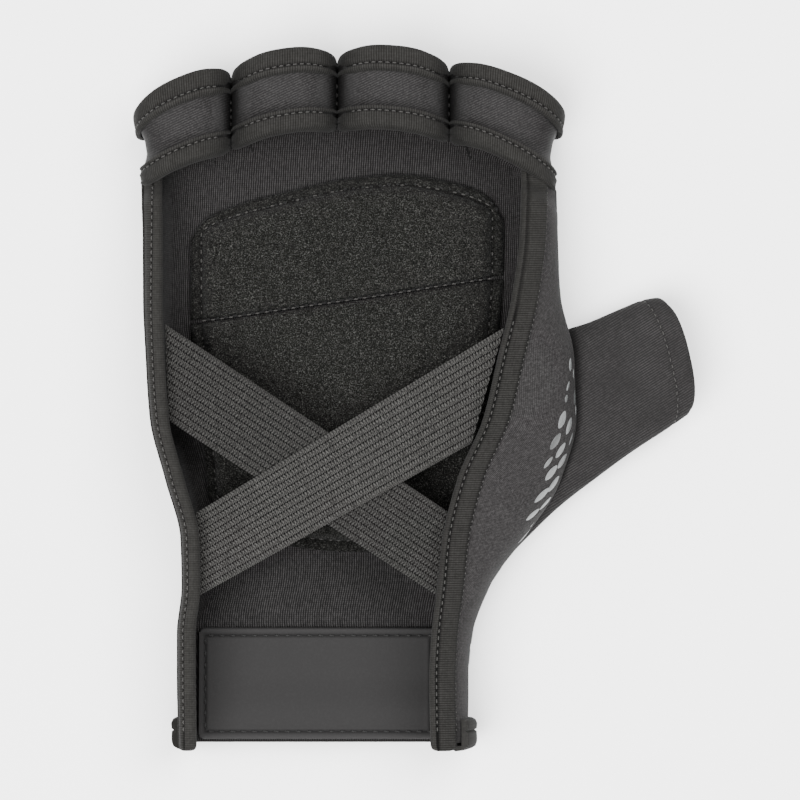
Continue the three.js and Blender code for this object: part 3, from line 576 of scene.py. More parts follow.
def make_mesh(name, points, quads, uv, materials, nodes=(), slot=None, caps=(), looks=None, shade=None,
              smooth_angle=50):
    """A piece from points in millimetres, with a UV pair in millimetres for each point.

    looks gives the number of the material of each quad where there are several, and shade how
    much of its colour each point keeps: on most pieces this is painted shade and painted highlight.
    """
    points, uv = np.asarray(points, float).reshape(-1, 3), np.asarray(uv, float).reshape(-1, 2)
    used, quads = np.unique(quads, return_inverse=True)
    quads = quads.reshape(-1, 4)
    points, uv = points[used], uv[used]
    caps = [list(cap) for cap in caps]
    faces = quads.tolist() + caps
    if signed_volume(points, quads, caps) < 0:
        faces = [face[::-1] for face in faces]
    mesh = bpy.data.meshes.new(name)
    mesh.from_pydata((points * MM).tolist(), [], faces)
    corner = np.zeros(len(mesh.loops), int)
    mesh.loops.foreach_get("vertex_index", corner)
    mesh.uv_layers.new(name="cloth").data.foreach_set("uv", uv[corner].ravel())
    kept = np.ones(len(points)) if shade is None else np.asarray(shade, float).ravel()[used]
    mesh.attributes.new("shade", "FLOAT", "POINT").data.foreach_set("value", kept)
    mesh.polygons.foreach_set("use_smooth", [True] * len(mesh.polygons))
    mesh.set_sharp_from_angle(angle=math.radians(smooth_angle))
    for material in materials if isinstance(materials, tuple) else (materials,):
        mesh.materials.append(material)
    if looks is not None:
        mesh.polygons.foreach_set("material_index", np.append(looks, np.zeros(len(caps), int)))
    piece = bpy.data.objects.new(name, mesh)
    bpy.context.collection.objects.link(piece)
    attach(piece, "root")
    if nodes:
        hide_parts(*nodes)
    return piece


def sheet(name, outer, inner, material, keep=None, shade=None, uv=None, **options):
    """A closed sheet between two matching grids of points. keep marks the quads that stay."""
    rows, columns = outer.shape[:2]
    count = rows * columns
    top = grid_faces(rows, columns)
    if keep is not None:
        top = top[keep.ravel()]
    edges = np.concatenate([top[:, [k, (k + 1) % 4]] for k in range(4)])
    _, first, uses = np.unique(np.sort(edges, axis=1), axis=0, return_index=True, return_counts=True)
    a, b = edges[first[uses == 1]].T
    faces = np.concatenate([top, top[:, ::-1] + count, np.stack([b, a, a + count, b + count], axis=-1)])
    points = np.concatenate([outer.reshape(-1, 3), inner.reshape(-1, 3)])
    if uv is None:
        uv = np.stack([walked(outer, 1), walked(outer, 0)], axis=-1)
    if shade is not None:
        shade = np.tile(np.broadcast_to(shade, (rows, columns)).ravel(), 2)
    return make_mesh(name, points, faces, np.concatenate([uv, uv]), material, shade=shade, **options)


def hoop(name, grid, material, joined=True, shade=None, **options):
    """A closed solid from rings of points, where each row of the grid is one ring."""
    rows, columns = grid.shape[:2]
    faces = grid_faces(rows, columns, joined_rows=joined, joined_columns=True)
    last = (rows - 1) * columns
    caps = () if joined else (range(columns - 1, -1, -1), range(last, last + columns))
    uv = np.stack([walked(grid, 0).mean(axis=1, keepdims=True) + np.zeros((rows, columns)),
                   walked(grid, 1)], axis=-1)
    if shade is not None:
        shade = np.broadcast_to(shade, (rows, columns))
    return make_mesh(name, grid, faces, uv, material, caps=caps, shade=shade, **options)


STITCH_PROFILE = ((-1.0, 0.15, -0.7), (-0.75, 0.8, -0.15), (0.0, 1.0, 0.1), (0.75, 0.8, -0.15),
                  (1.0, 0.15, -0.7))


def upward(path, lean=0.0):
    """A stitch row on a face that looks up, or leans to the right."""
    return path, np.tile((lean, 0.0, 1.0), (len(path), 1))


def cell_faces(number, rings, sides):
    """Quads and end caps of many closed cells, where each is made of rings of points."""
    starts = np.arange(number) * rings * sides
    quads = grid_faces(rings, sides, joined_columns=True)[None] + starts[:, None, None]
    caps = []
    for first in starts.tolist():
        last = first + (rings - 1) * sides
        caps += [range(first + sides - 1, first - 1, -1), range(last, last + sides)]
    return quads.reshape(-1, 4), caps


def stitches(name, rows, material, pitch=1.5, length=1.0, width=0.3):
    """Rows of thread stitches. Each row is a path in millimetres and the surface normals along it."""
    sides = 6
    angles = np.arange(sides) / sides * 2 * math.pi
    points = []
    for path, normals in rows:
        far = path_run(path)
        count = max(1, int(far[-1] / pitch))
        for middle in (np.arange(count) + 0.5) * far[-1] / count:
            start, end, up = (np.array([np.interp(at, far, table[:, k]) for k in range(3)])
                              for at, table in ((middle - length / 2, path), (middle + length / 2, path),
                                                (middle, normals)))
            along = unit(end - start)
            up = unit(up - along * (up @ along))
            side = np.cross(up, along)
            centre = (start + end) / 2
            for t, girth, drop in STITCH_PROFILE:
                ring = np.cos(angles)[:, None] * side + np.sin(angles)[:, None] * up
                points.append(centre + along * t * length / 2 + ring * girth * width / 2 + up * drop * width)
    quads, caps = cell_faces(len(points) // len(STITCH_PROFILE), len(STITCH_PROFILE), sides)
    flat = np.array(points).reshape(-1, 3)
    make_mesh(name, flat, quads, flat[:, :2], material, caps=caps, slot="thread")


# Looks

def cloth_light(value):
    """How much light cloth sends back to show as a screen value from 0 to 255 in the studio."""
    value = value / 255
    linear = value / 12.92 if value <= 0.04045 else ((value + 0.055) / 1.055) ** 2.4
    return linear * CLOTH_LIGHT


class Look:
    """One procedural material, built from textures over the cloth's own millimetres."""

    def __init__(self, name, roughness, sheen=0.0, specular=0.3, shaded=True, light=cloth_light):
        self.shaded = shaded
        self.light = light
        self.material = bpy.data.materials.new(name)
        self.material.use_nodes = True
        self.tree = self.material.node_tree
        self.shader = self.tree.nodes["Principled BSDF"]
        self.shader.inputs["Roughness"].default_value = roughness
        self.shader.inputs["Specular IOR Level"].default_value = specular
        self.shader.inputs["Sheen Weight"].default_value = sheen
        self.shader.inputs["Sheen Roughness"].default_value = 0.45
        places = self.tree.nodes.new("ShaderNodeTexCoord")
        self.cloth = places.outputs["UV"]
        self.space = self.scaled(places.outputs["Object"], 1 / MM)

    def node(self, kind, inputs=(), **settings):
        made = self.tree.nodes.new(kind)
        for key, value in settings.items():
            setattr(made, key, value)
        for socket, value in dict(inputs).items():
            if isinstance(value, bpy.types.NodeSocket):
                self.tree.links.new(value, made.inputs[socket])
            else:
                made.inputs[socket].default_value = value
        return made

    def maths(self, operation, first, second=0.0, third=0.0):
        return self.node("ShaderNodeMath", {0: first, 1: second, 2: third}, operation=operation).outputs[0]

    def times(self, first, second):
        return self.maths("MULTIPLY", first, second)

    def scale_add(self, value, scale, added):
        """A value times a scale, plus what is added."""
        return self.maths("MULTIPLY_ADD", value, scale, added)

    def size_of(self, value):
        return self.maths("ABSOLUTE", value)

    def blend(self, first, share, second):
        """A share of one value and the rest of another."""
        return self.scale_add(first, share, self.times(second, 1 - share))

    def crossed(self, ribs, rows, share):
        """Ribs that the rows across them cut in by a share."""
        return self.times(ribs, self.scale_add(rows, share, 1 - share))

    def scaled(self, vector, scale):
        scale = scale if isinstance(scale, tuple) else (scale, scale, scale)
        return self.node("ShaderNodeVectorMath", {0: vector, 1: scale}, operation="MULTIPLY").outputs[0]

    def axis(self, vector, name):
        return self.node("ShaderNodeSeparateXYZ", {0: vector}).outputs[name]

    def wave(self, distance, pitch, shift=0.0):
        """A smooth wave from 0 to 1 that repeats each pitch of a distance."""
        angle = self.scale_add(distance, 2 * math.pi / pitch, shift)
        return self.scale_add(self.maths("SINE", angle), 0.5, 0.5)

    def noise(self, vector, size, detail=2.0, roughness=0.5):
        inputs = {"Vector": vector, "Scale": 1 / size, "Detail": detail, "Roughness": roughness}
        return self.node("ShaderNodeTexNoise", inputs).outputs["Fac"]

    def slanted(self, vector, degrees):
        """Distance across lines that slant by an angle from the first cloth direction."""
        turn = math.radians(degrees)
        across = self.times(self.axis(vector, "Y"), math.cos(turn))
        return self.scale_add(self.axis(vector, "X"), -math.sin(turn), across)

    def ramp(self, value, *stops):
        """The base colour from a value. Each stop is a place, then red, green and blue."""
        made = self.node("ShaderNodeValToRGB", {0: value})
        elements = made.color_ramp.elements
        while len(elements) < len(stops):
            elements.new(0.5)
        for element, (position, *screen) in zip(elements, stops):
            element.position = position
            element.color = [*map(self.light, screen), 1.0]
        # The shade attribute scales the base colour by each piece's painted shade and painted highlight.
        kept = self.node("ShaderNodeAttribute", attribute_name="shade").outputs["Fac"] if self.shaded else 1.0
        tinted = self.node("ShaderNodeVectorMath", {0: made.outputs["Color"], "Scale": kept},
                           operation="SCALE")
        self.tree.links.new(tinted.outputs["Vector"], self.shader.inputs["Base Color"])

    def bump(self, height, depth):
        """Relief of a height from 0 to 1, in millimetres."""
        inputs = {"Height": height, "Distance": depth * MM, "Strength": 1.0}
        made = self.node("ShaderNodeBump", inputs)
        self.tree.links.new(made.outputs["Normal"], self.shader.inputs["Normal"])

    def roughness(self, value, low, high):
        made = self.node("ShaderNodeMapRange", {"Value": value, "To Min": low, "To Max": high})
        self.tree.links.new(made.outputs["Result"], self.shader.inputs["Roughness"])


def shell_look():
    """Fine stretch knit with a mottled heather."""
    look = Look("shell_knit", 0.95, sheen=0.02, specular=0.08)
    wales = look.wave(look.axis(look.cloth, "X"), 0.42)
    courses = look.wave(look.axis(look.cloth, "Y"), 0.36)
    loops = look.crossed(wales, courses, 0.6)
    heather = look.noise(look.space, 0.55, 3.0, 0.65)
    broad = look.noise(look.space, 9.0, 2.0)
    tone = look.blend(loops, 0.25, heather)
    tone = look.scale_add(broad, 0.08, look.times(tone, 0.95))
    look.ramp(tone, (0.25, 42, 41, 41), (0.48, 66, 64, 64), (0.7, 99, 97, 97))
    look.bump(look.blend(loops, 0.6, heather), 0.1)
    return look.material


def lining_look():
    """Fine rib knit with its ribs along the hand."""
    look = Look("lining_rib", 0.95, sheen=0.03, specular=0.1)
    wobble = look.times(look.noise(look.space, 1.2), 0.25)
    ribs = look.wave(look.maths("ADD", look.axis(look.cloth, "X"), wobble), 0.5)
    courses = look.wave(look.axis(look.cloth, "Y"), 0.45)
    knit = look.crossed(ribs, courses, 0.35)
    heather = look.noise(look.space, 0.7, 3.0, 0.6)
    tone = look.blend(knit, 0.5, heather)
    look.ramp(tone, (0.25, 24, 23, 23), (0.5, 55, 53, 53), (0.75, 94, 92, 92))
    look.bump(knit, 0.16)
    return look.material


def sleeve_look():
    """Fine twill whose lines rise towards the thumb."""
    look = Look("sleeve_twill", 0.92, sheen=0.02, specular=0.08)
    lines = look.wave(look.slanted(look.space, 32), 0.5)
    threads = look.wave(look.slanted(look.space, -58), 0.5)
    patches = look.noise(look.space, 6.0, 2.0)
    heather = look.noise(look.space, 0.6, 3.0, 0.6)
    twill = look.crossed(lines, threads, 0.3)
    tone = look.times(twill, look.scale_add(patches, 0.4, 0.1))
    tone = look.scale_add(heather, 0.5, tone)
    look.ramp(tone, (0.2, 46, 45, 45), (0.42, 63, 61, 61), (0.7, 92, 90, 90))
    look.bump(twill, 0.06)
    return look.material


def terry_look():
    """Dark looped pile with light ends."""
    look = Look("terry_pile", 1.0, sheen=0.03, specular=0.05)
    fine = look.noise(look.space, 0.26, 1.0, 0.6)
    coarse = look.noise(look.space, 1.1, 2.0, 0.6)
    tone = look.blend(fine, 0.85, coarse)
    look.ramp(tone, (0.36, 14, 14, 13), (0.48, 39, 39, 37), (0.58, 62, 62, 59),
             (0.7, 118, 117, 114))
    look.bump(fine, 0.3)
    return look.material


def band_look():
    """Smooth satiny stretch cloth of the finger bands."""
    look = Look("band_satin", 0.62, specular=0.1)
    lines = look.wave(look.slanted(look.space, 25), 0.5)
    grain = look.noise(look.space, 0.4, 2.0, 0.6)
    tone = look.blend(lines, 0.25, grain)
    look.ramp(tone, (0.3, 28, 27, 27), (0.5, 49, 47, 47), (0.7, 78, 76, 76))
    look.roughness(tone, 0.58, 0.72)
    look.bump(tone, 0.05)
    return look.material


def ribbed_look(name, base, rib_pitch, depth, along="X"):
    """Ribbed tape: its ribs run across it, along the second cloth direction."""
    look = Look(name, 0.92, sheen=0.02, specular=0.06)
    worn = look.noise(look.space, 2.4, 3.0, 0.6)
    ribs = look.wave(look.axis(look.cloth, along), rib_pitch)
    cross = look.wave(look.axis(look.cloth, "Y" if along == "X" else "X"), 0.6)
    knit = look.crossed(ribs, cross, 0.25)
    heather = look.noise(look.space, 0.6, 3.0, 0.6)
    tone = look.scale_add(knit, 0.4, look.times(heather, 0.4))
    tone = look.scale_add(worn, 0.2, tone)
    dark, mid, light = ([channel + step for channel in base] for step in (-22, 0, 22))
    look.ramp(tone, (0.2, *dark), (0.5, *mid), (0.8, *light))
    look.bump(knit, depth)
    return look.material


def elastic_look():
    """Woven elastic: flat cords of zigzag yarn, dotted rows between them and thin light edges."""
    look = Look("elastic_weave", 0.9, specular=0.06)
    along, across = look.axis(look.cloth, "Y"), look.axis(look.cloth, "X")
    cord = look.maths("MODULO", across, 1.0)
    half = look.size_of(look.maths("SUBTRACT", cord, 0.5))
    furrow = look.maths("MAXIMUM", look.scale_add(half, 7.0, -2.5), 0.0)
    furrow = look.maths("SMOOTH_MIN", 1.0, furrow, 0.1)
    dots = look.wave(look.scale_add(half, 0.5, along), 0.67)
    dots = look.maths("GREATER_THAN", dots, 0.42)
    yarn = look.wave(look.scale_add(half, 1.4, along), 0.67)
    heather = look.noise(look.space, 0.28, 1.0, 0.6)
    tone = look.scale_add(yarn, 0.26, look.scale_add(heather, 0.7, 0.08))
    pits = look.times(furrow, look.scale_add(dots, 0.5, 0.13))
    tone = look.maths("SUBTRACT", tone, pits)
    edge = look.size_of(look.maths("SUBTRACT", across, STRAP_RIBS / 2))
    selvage = look.maths("GREATER_THAN", edge, STRAP_RIBS / 2 - 0.14)
    tone = look.scale_add(selvage, 0.3, tone)
    look.ramp(tone, (0.14, 6, 6, 6), (0.38, 48, 47, 46), (0.55, 76, 75, 73),
             (0.8, 138, 137, 134))
    look.bump(tone, 0.08)
    return look.material


def tab_look():
    """Matt synthetic leather with a very fine grain."""
    look = Look("tab_leather", 0.8, specular=0.06)
    grain = look.node("ShaderNodeTexVoronoi", {"Vector": look.space, "Scale": 2.2}).outputs["Distance"]
    fine = look.noise(look.space, 0.3, 2.0)
    tone = look.blend(grain, 0.5, fine)
    look.ramp(tone, (0.2, 65, 64, 64), (0.55, 68, 67, 67), (0.8, 71, 70, 70))
    look.roughness(fine, 0.78, 0.86)
    look.bump(tone, 0.012)
    return look.material


def thread_look(name, dark, light):
    look = Look(name, 0.6, sheen=0.04, specular=0.2)
    twist = look.wave(look.slanted(look.space, 40), 0.3)
    look.ramp(twist, (0.1, *dark), (0.9, *light))
    look.bump(twist, 0.04)
    return look.material


def print_look():
    """Raised silver grey grip print."""
    look = Look("grip_print", 0.42, specular=0.5)
    speckle = look.noise(look.space, 0.28, 3.0, 0.7)
    worn = look.noise(look.space, 5.0, 2.0)
    tone = look.blend(speckle, 0.55, worn)
    look.ramp(tone, (0.3, 118, 121, 121), (0.5, 168, 171, 171), (0.7, 205, 208, 207))
    look.bump(speckle, 0.04)
    return look.material


SHELL, LINING, SLEEVE, TERRY = shell_look(), lining_look(), sleeve_look(), terry_look()
BAND, ELASTIC, TAB, PRINT = band_look(), elastic_look(), tab_look(), print_look()
THREAD = thread_look("sewing_thread", (66, 65, 63), (108, 106, 103))
# Painted shadow of stitches, as dark stitches: beside the patch's rows and in the tab's stitch holes
STITCH_SHADOW = thread_look("stitch_shadow", (20, 20, 20), (44, 43, 42))
TAPE = ribbed_look("binding_tape", (57, 56, 54), 0.5, 0.06)
EDGE = ribbed_look("binding_edge", (59, 58, 56), 0.38, 0.02)
TRIM = ribbed_look("trim_tape", (58, 57, 55), 0.5, 0.05)


# Body

def dived(points):
    """Points lowered towards the finger loops, where the rims pass under the near trims."""
    before = loop_plane(points[..., 0], points[..., 2]) - points[..., 1]
    drop = DIVE * (1 - smoothstep(before, 2.0, 6.0)) * smoothstep(points[..., 2], 10.5, 14.5)
    return stacked(points[..., 0], points[..., 1], points[..., 2] - drop)


def body_sheet(name, material, depths, node, slot, waviness, tongue=0.0):
    """A cloth wall of the body, open where the thumb goes through.

    depths are those of its outer and inner face, and tongue is how far its sole runs on into the
    finger loops.
    """
    places = np.concatenate([np.linspace(0, 2, BODY_COLUMN_COUNTS[0], endpoint=False),
                             np.linspace(2, 3, BODY_COLUMN_COUNTS[1], endpoint=False),
                             np.linspace(3, 5, BODY_COLUMN_COUNTS[2])])
    shares = np.linspace(0, 1, BODY_ROW_COUNT)[:, None]
    sides = []
    pressed = 1 - RIM_PRESS * np.maximum(1 - smoothstep(places, 0.0, 0.3), smoothstep(places, 4.7, 5.0))
    sole = plateau(places, 1.35, 1.75, 3.25, 3.65)
    for depth in depths:
        depth = depth * pressed
        end = finger_end(places, -depth) + (LOOP_OVERLAP + tongue * sole) / BODY_LENGTH
        points = wall_point(lerp(WRIST_START, end, shares), places, -depth)
        sides.append(dived(points))
    outer, inner = sides
    wave = ripple(outer, 26.0, waviness, 3) * np.where(places > 3.4, 1.0, 0.35)
    free = plateau(places, 0.1, 0.5, 4.6, 4.95)
    lifted = unit(outer - inner) * (wave * free)[..., None]
    outer, inner = outer + lifted, inner + lifted
    centres = (outer[:-1, :-1] + outer[1:, 1:]) / 2
    keep = ~inside_sleeve(centres, -0.4 * SLEEVE_WALL)
    shade = 1.0
    # Painted shade: the lining darkens towards the left wall and a little towards the right wall, where the
    # walls shade it.
    if slot == "lining":
        shade = lerp(0.6, 1.0, smoothstep(places, 0.9, 2.1)) * lerp(1.0, 0.82, smoothstep(places, 3.2, 4.2))
    sheet(name, outer, inner, material, keep=keep, shade=shade, nodes=(node,), slot=slot)


body_sheet("shell_cloth", SHELL, (0.0, SHELL_WALL), "hand_shell", "shell", 0.25)
body_sheet("lining_cloth", LINING, (SHELL_WALL + LINING_GAP, WALL_STACK), "palm_lining", "lining", 0.2,
           LINING_TONGUE)


# Thumb sleeve

def sleeve_start(angles, outward, sunk):
    """Where each line of the sleeve comes out of the body's wall."""
    alongs = np.linspace(0, 1, 161)
    inside = inside_body(sleeve_point(alongs[:, None], angles[None], outward), -sunk)
    last = np.array([np.flatnonzero(column).max(initial=0) for column in inside.T])
    start = alongs[last]
    smooth = np.convolve(np.concatenate([start[-3:], start, start[:3]]), np.ones(7) / 7, "valid")
    return np.minimum(start, smooth)


def thumb_sleeve():
    """The hollow sleeve with its turned hem, and the stitch row of the hem."""
    angles = np.linspace(0, 2 * math.pi, 144, endpoint=False)
    t = np.linspace(0, 1, 90)[:, None]
    outer, inner = (sleeve_point(lerp(sleeve_start(angles, outward, sunk), 1.0, t), angles, outward)
                    for outward, sunk in ((0.0, 0.6), (-SLEEVE_WALL, 0.9)))
    from_mouth = walked(outer[::-1], 0)[::-1]
    from_hem = from_mouth - SLEEVE_HEM
    normal = unit(outer - inner)
    waves = ripple(outer, 22.0, 0.3, 11) * smoothstep(from_mouth, 2.0, 12.0)
    turned = HEM_GROOVE * dip(from_hem, 0.4) + MOUTH_FOLD * (1 - smoothstep(from_mouth, 0, 0.8))
    outer = outer + normal * (waves - turned)[..., None]
    ring = np.concatenate([outer, inner[::-1]], axis=0)
    # Painted shade: darker where the sleeve comes out from the body, along the hem's groove, and over all its
    # inner face.
    painted_root_shade = lerp(0.35, 1.0, smoothstep(walked(outer, 0), 1.0, 3.2))
    outer_shade = painted_root_shade * (1 - 0.3 * dip(from_hem, 0.3))
    shade = np.concatenate([outer_shade, np.full_like(outer_shade, 0.6)], axis=0)
    hoop("sleeve_cloth", ring.transpose(1, 0, 2), SLEEVE, shade=shade.T, nodes=("thumb_sleeve",),
         slot="shell")
    hem_row = np.abs(from_hem).argmin(axis=0), np.arange(len(angles))
    stitches("sleeve_stitches", [(outer[hem_row], normal[hem_row])], THREAD, width=0.26)


thumb_sleeve()


# Bindings

def roll_reach():
    return (BINDING_GAP + RIM_STACK + RIM_GAP + BINDING_WALL + INNER_BINDING) / 2


def roll_point(angle):
    """Distance beyond the rim and outward of the rolled edge, from its outer side round to its inner side."""
    thick = lerp(INNER_BINDING, BINDING_WALL, (1 + np.cos(angle)) / 2)
    middle, roll = (BINDING_GAP - RIM_STACK - RIM_GAP) / 2, (BINDING_GAP + RIM_STACK + RIM_GAP) / 2
    return roll_reach() * np.sin(angle), middle + (roll + thick) * np.cos(angle)


def binding_profile(legs, bead, seam):
    """The binding in section: distance beyond the rim, outward from the shell's outer face, and painted
    shade: darker at its outer edge, in its stitched furrow and seam and on its inner side, with a
    painted highlight on its roll.

    The second result is the number of the point where its roll begins.
    """
    top, low = BINDING_GAP + BINDING_WALL, -RIM_STACK - RIM_GAP
    edge = -legs["outer"]
    outer = [(edge, BINDING_GAP, 0.4), (edge, BINDING_GAP + 0.35, 0.4),
             (edge + 0.15, BINDING_GAP + 0.55, 0.3), (edge + 0.55, top - 0.05, 0.8)]
    outer += [(along, top, 1.0) for along in np.linspace(edge + 1.0, bead - 0.75, 6)]
    outer += [(bead - 0.4, top - 0.1, 0.7), (bead - 0.2, top - 0.45, 0.3), (bead, top - 0.62, 0.2),
              (bead + 0.2, top - 0.45, 0.3)]
    if bead < -1:
        outer += [(along, top, 1.0) for along in np.linspace(bead + 0.5, -0.15, 4)]
    first_roll = len(outer)
    lip = max(0, math.asin(min(1, (bead + 0.42) / roll_reach())))
    for angle in np.linspace(lip, math.pi, ROLL_STEPS):
        along, outward = roll_point(angle)
        at_seam = dip(angle - seam, SEAM_SPREAD)
        sunk = SEAM_SINK * at_seam
        outer.append((along - sunk * math.sin(angle), outward - sunk * math.cos(angle),
                      1.08 - 0.85 * at_seam))
    foot = low - INNER_BINDING
    inner = [(-legs["inner"] * 0.5, foot, 1.0), (-legs["inner"] + 0.3, foot, 1.0),
             (-legs["inner"], low - 0.45, 0.8), (-legs["inner"], low, 0.5), (-legs["inner"] * 0.5, low, 0.5)]
    middle, roll = (BINDING_GAP + low) / 2, (BINDING_GAP - low) / 2
    for angle in np.linspace(math.pi, 0, INNER_STEPS):
        inner.append((roll * math.sin(angle), middle + roll * math.cos(angle), 0.5))
    inner.append((edge * 0.5, BINDING_GAP, 0.5))
    return np.array(outer + inner), first_roll


def rim_points(rim, shares, alongs, outwards):
    """Points around a rim: alongs below zero follow the wall, others stand beyond the rim."""
    shares = np.asarray(shares, float)
    base = wall_point(shares, float(rim), 0.0)
    out = wall_point(shares, float(rim), 1.0) - base
    beyond = stacked(-out[:, 2], 0 * out[:, 0], out[:, 0]) * (-1 if rim == LEFT_RIM else 1)
    places = places_below_rim(shares, rim, np.maximum(0, -alongs))
    on_wall = wall_point(shares[:, None], places, outwards[None])
    off_wall = base[:, None] + beyond[:, None] * alongs[None, :, None]
    off_wall = off_wall + out[:, None] * outwards[None, :, None]
    return dived(np.where((alongs < 0)[None, :, None], on_wall, off_wall))


def rim_end(rim):
    """The share of the body length where a rim meets the finger loops."""
    return float(finger_end(np.array([float(rim)]), 0.0)[0])


def rim_binding(name, rim, legs, bead, seam, node):
    """A folded binding along a rim, rounded at its foot and tucked under the finger loops."""
    foot = 1 - np.cos(np.linspace(0, math.pi / 2, 9))[:-1]
    far = rim_end(rim) + BINDING_TUCK / BODY_LENGTH
    shares = np.concatenate([(foot - 1) * FOOT_ROUND / BODY_LENGTH + WRIST_START,
                             np.linspace(WRIST_START, far, BINDING_ROWS)])
    profile, first_roll = binding_profile(legs, bead, seam)
    grid = rim_points(rim, shares, profile[:, 0], profile[:, 1])
    centre = rim_points(rim, shares, np.array(FOOT_CENTRE[:1]), np.array(FOOT_CENTRE[1:]))
    size = np.sqrt(np.clip((shares - WRIST_START) * BODY_LENGTH / FOOT_ROUND + 1, 0.02, 1))
    size = np.where(shares < WRIST_START, np.sin(np.arccos(1 - size)), 1.0)
    grid = centre + (grid - centre) * size[:, None, None]
    end = loop_plane(grid[..., 0], grid[..., 2]) - GAP + BINDING_TUCK
    grid[..., 1] = np.minimum(grid[..., 1], end)
    rolled = np.zeros(grid.shape[:2], int)
    first = first_roll + int(np.argmax(np.linspace(0, math.pi, ROLL_STEPS) > seam))
    rolled[:, first:first_roll + ROLL_STEPS] = 1
    # On the radial binding the furrow's painted shade fades out towards the finger loops.
    smooth = smoothstep(shares, *VALLEY_ENDS)[:, None] * (VALLEY_FADE if rim == RIGHT_RIM else 0.0)
    hoop(name, grid, (TAPE, EDGE), joined=False, looks=rolled[:-1].ravel(), nodes=(node,), slot="binding",
         shade=lerp(profile[:, 2], 1.0, smooth))


rim_binding("ulnar_tape", LEFT_RIM, ULNAR_LEGS, ULNAR_BEAD, ULNAR_SEAM, "ulnar_binding")
rim_binding("radial_tape", RIGHT_RIM, RADIAL_LEGS, RADIAL_BEAD, 0.0, "radial_binding")


def rim_stitches(rim, along, outward, end=None):
    """A stitch row along a rim, where end is a share of the body length."""
    shares = np.linspace(ROW_START, end or rim_end(rim) - ROW_STOP, 200)
    path, above = (rim_points(rim, shares, np.array([along]), np.array([outward + lift]))[:, 0]
                   for lift in (0.0, 1.0))
    return path, above - path


def binding_stitches():
    """The rows beside the beads and the roll, and those on the outer edges of the bindings."""
    top = BINDING_GAP + BINDING_WALL
    seam_along, seam_outward = roll_point(ULNAR_SEAM)
    rows = [rim_stitches(RIGHT_RIM, RADIAL_BEAD, top - 0.5, VALLEY_ENDS[0]),
            rim_stitches(LEFT_RIM, ULNAR_BEAD, top - 0.5),
            rim_stitches(LEFT_RIM, seam_along - 0.15, seam_outward)]
    stitches("binding_stitches", rows, THREAD)
    rows = [rim_stitches(rim, 0.15 - legs["outer"], top - 0.35)
            for rim, legs in ((RIGHT_RIM, RADIAL_LEGS), (LEFT_RIM, ULNAR_LEGS))]
    stitches("binding_edge_stitches", rows, THREAD, pitch=1.25, length=0.75, width=0.36)


def lining_stitches():
    """A stitch row on the inner face of the lining, below the left rim."""
    shares = np.linspace(ROW_START, LINING_ROW["stop"], 200)
    places = places_below_rim(shares, LEFT_RIM, np.array([LINING_ROW["down"]]))[:, 0]
    path = wall_point(shares, places, -WALL_STACK - 0.1)
    above = wall_point(shares, places, -WALL_STACK - 1.1)
    stitches("lining_stitches", [(path, above - path)], THREAD, length=0.7)


binding_stitches()
lining_stitches()


def wrist_hem():
    """The hem that closes the wrist edge, between the two bindings."""
    wrist = np.array([0.0])
    start = places_below_rim(wrist, LEFT_RIM, np.array([HEM["clear_left"]]))[0, 0]
    end = places_below_rim(wrist, RIGHT_RIM, np.array([HEM["clear_right"]]))[0, 0]
    places = np.linspace(start, end, HEM_ROWS)
    leg, wall, lip = HEM["outer_leg"], HEM["wall"], HEM["lip"]
    profile = np.array([
        (leg, GAP), (leg - 0.05, GAP + wall * 0.4), (leg - 0.4, GAP + wall * 0.8), (leg - 1.2, GAP + wall),
        (leg - 2.2, GAP + wall * 0.95), (leg - 2.6, GAP + wall * 0.6), (leg - 3.0, GAP + wall * 0.95),
        (1.2, GAP + wall), (0.4, GAP + wall * 0.98), (-lip * 0.4, GAP + wall * 0.8),
        (-lip * 0.8, GAP + wall * 0.35),
        (-lip - 0.2, -WALL_STACK * 0.2), (-lip - GAP, -WALL_STACK * 0.5), (-lip * 0.95, -WALL_STACK * 0.9),
        (-lip * 0.6, -WALL_STACK), (-GAP, -WALL_STACK), (-GAP, GAP),
    ])
    reach, outward = profile.T
    grid = wall_point(np.maximum(0, reach) / BODY_LENGTH, places[:, None], outward)
    corner = np.maximum(1 - smoothstep(places, 0.9, 1.9), smoothstep(places, 3.1, 4.1))[:, None]
    flat_reach = np.where(reach > -1.1 * GAP, HEM["flat_reach"], 0.0)
    lip_reach = np.minimum(0, reach) * corner + flat_reach * (1 - corner)
    grid[..., 1] = WRIST_EDGE_Y + np.where(reach < 0, lip_reach, reach)
    grid[..., 2] = np.maximum(grid[..., 2], HEM["lift"])
    hoop("hem_tape", grid, TAPE, joined=False, nodes=("wrist_hem",), slot="binding")


wrist_hem()


# Terry patch

TOP_EDGE, GROOVE, BOTTOM_EDGE = (smooth_column(PAD_EDGES[:, 0], PAD_EDGES[:, i]) for i in (1, 2, 3))
UPPER = {"taper": 0, "low_lift": PAD_GROOVE_WIDTH / 2, "high_drop": 0}
LOWER = {"taper": PAD_FOOT_TAPER, "low_lift": 0, "high_drop": PAD_GROOVE_WIDTH / 2}


def pad_place(low_edge, high_edge, side, up, taper, low_lift, high_drop):
    """x and y on a half of the patch, the distance to the patch's edge and that to its groove."""
    inset = taper * (1 - up)
    across = lerp(inset, 1 - inset, side)
    x = lerp(PAD_SIDES[0], PAD_SIDES[1], across)
    low = plan(x, low_edge(across))[..., 1] + low_lift
    high = plan(x, high_edge(across))[..., 1] - high_drop
    width = (PAD_SIDES[1] - PAD_SIDES[0]) * PALM_BREADTH
    rise = high - low
    from_groove, from_edge = (up, 1 - up) if high_drop == 0 else (1 - up, up)
    depth = np.minimum(np.minimum(side, 1 - side) * width, from_edge * rise)
    return x * PALM_BREADTH, lerp(low, high, up), depth, from_groove * rise


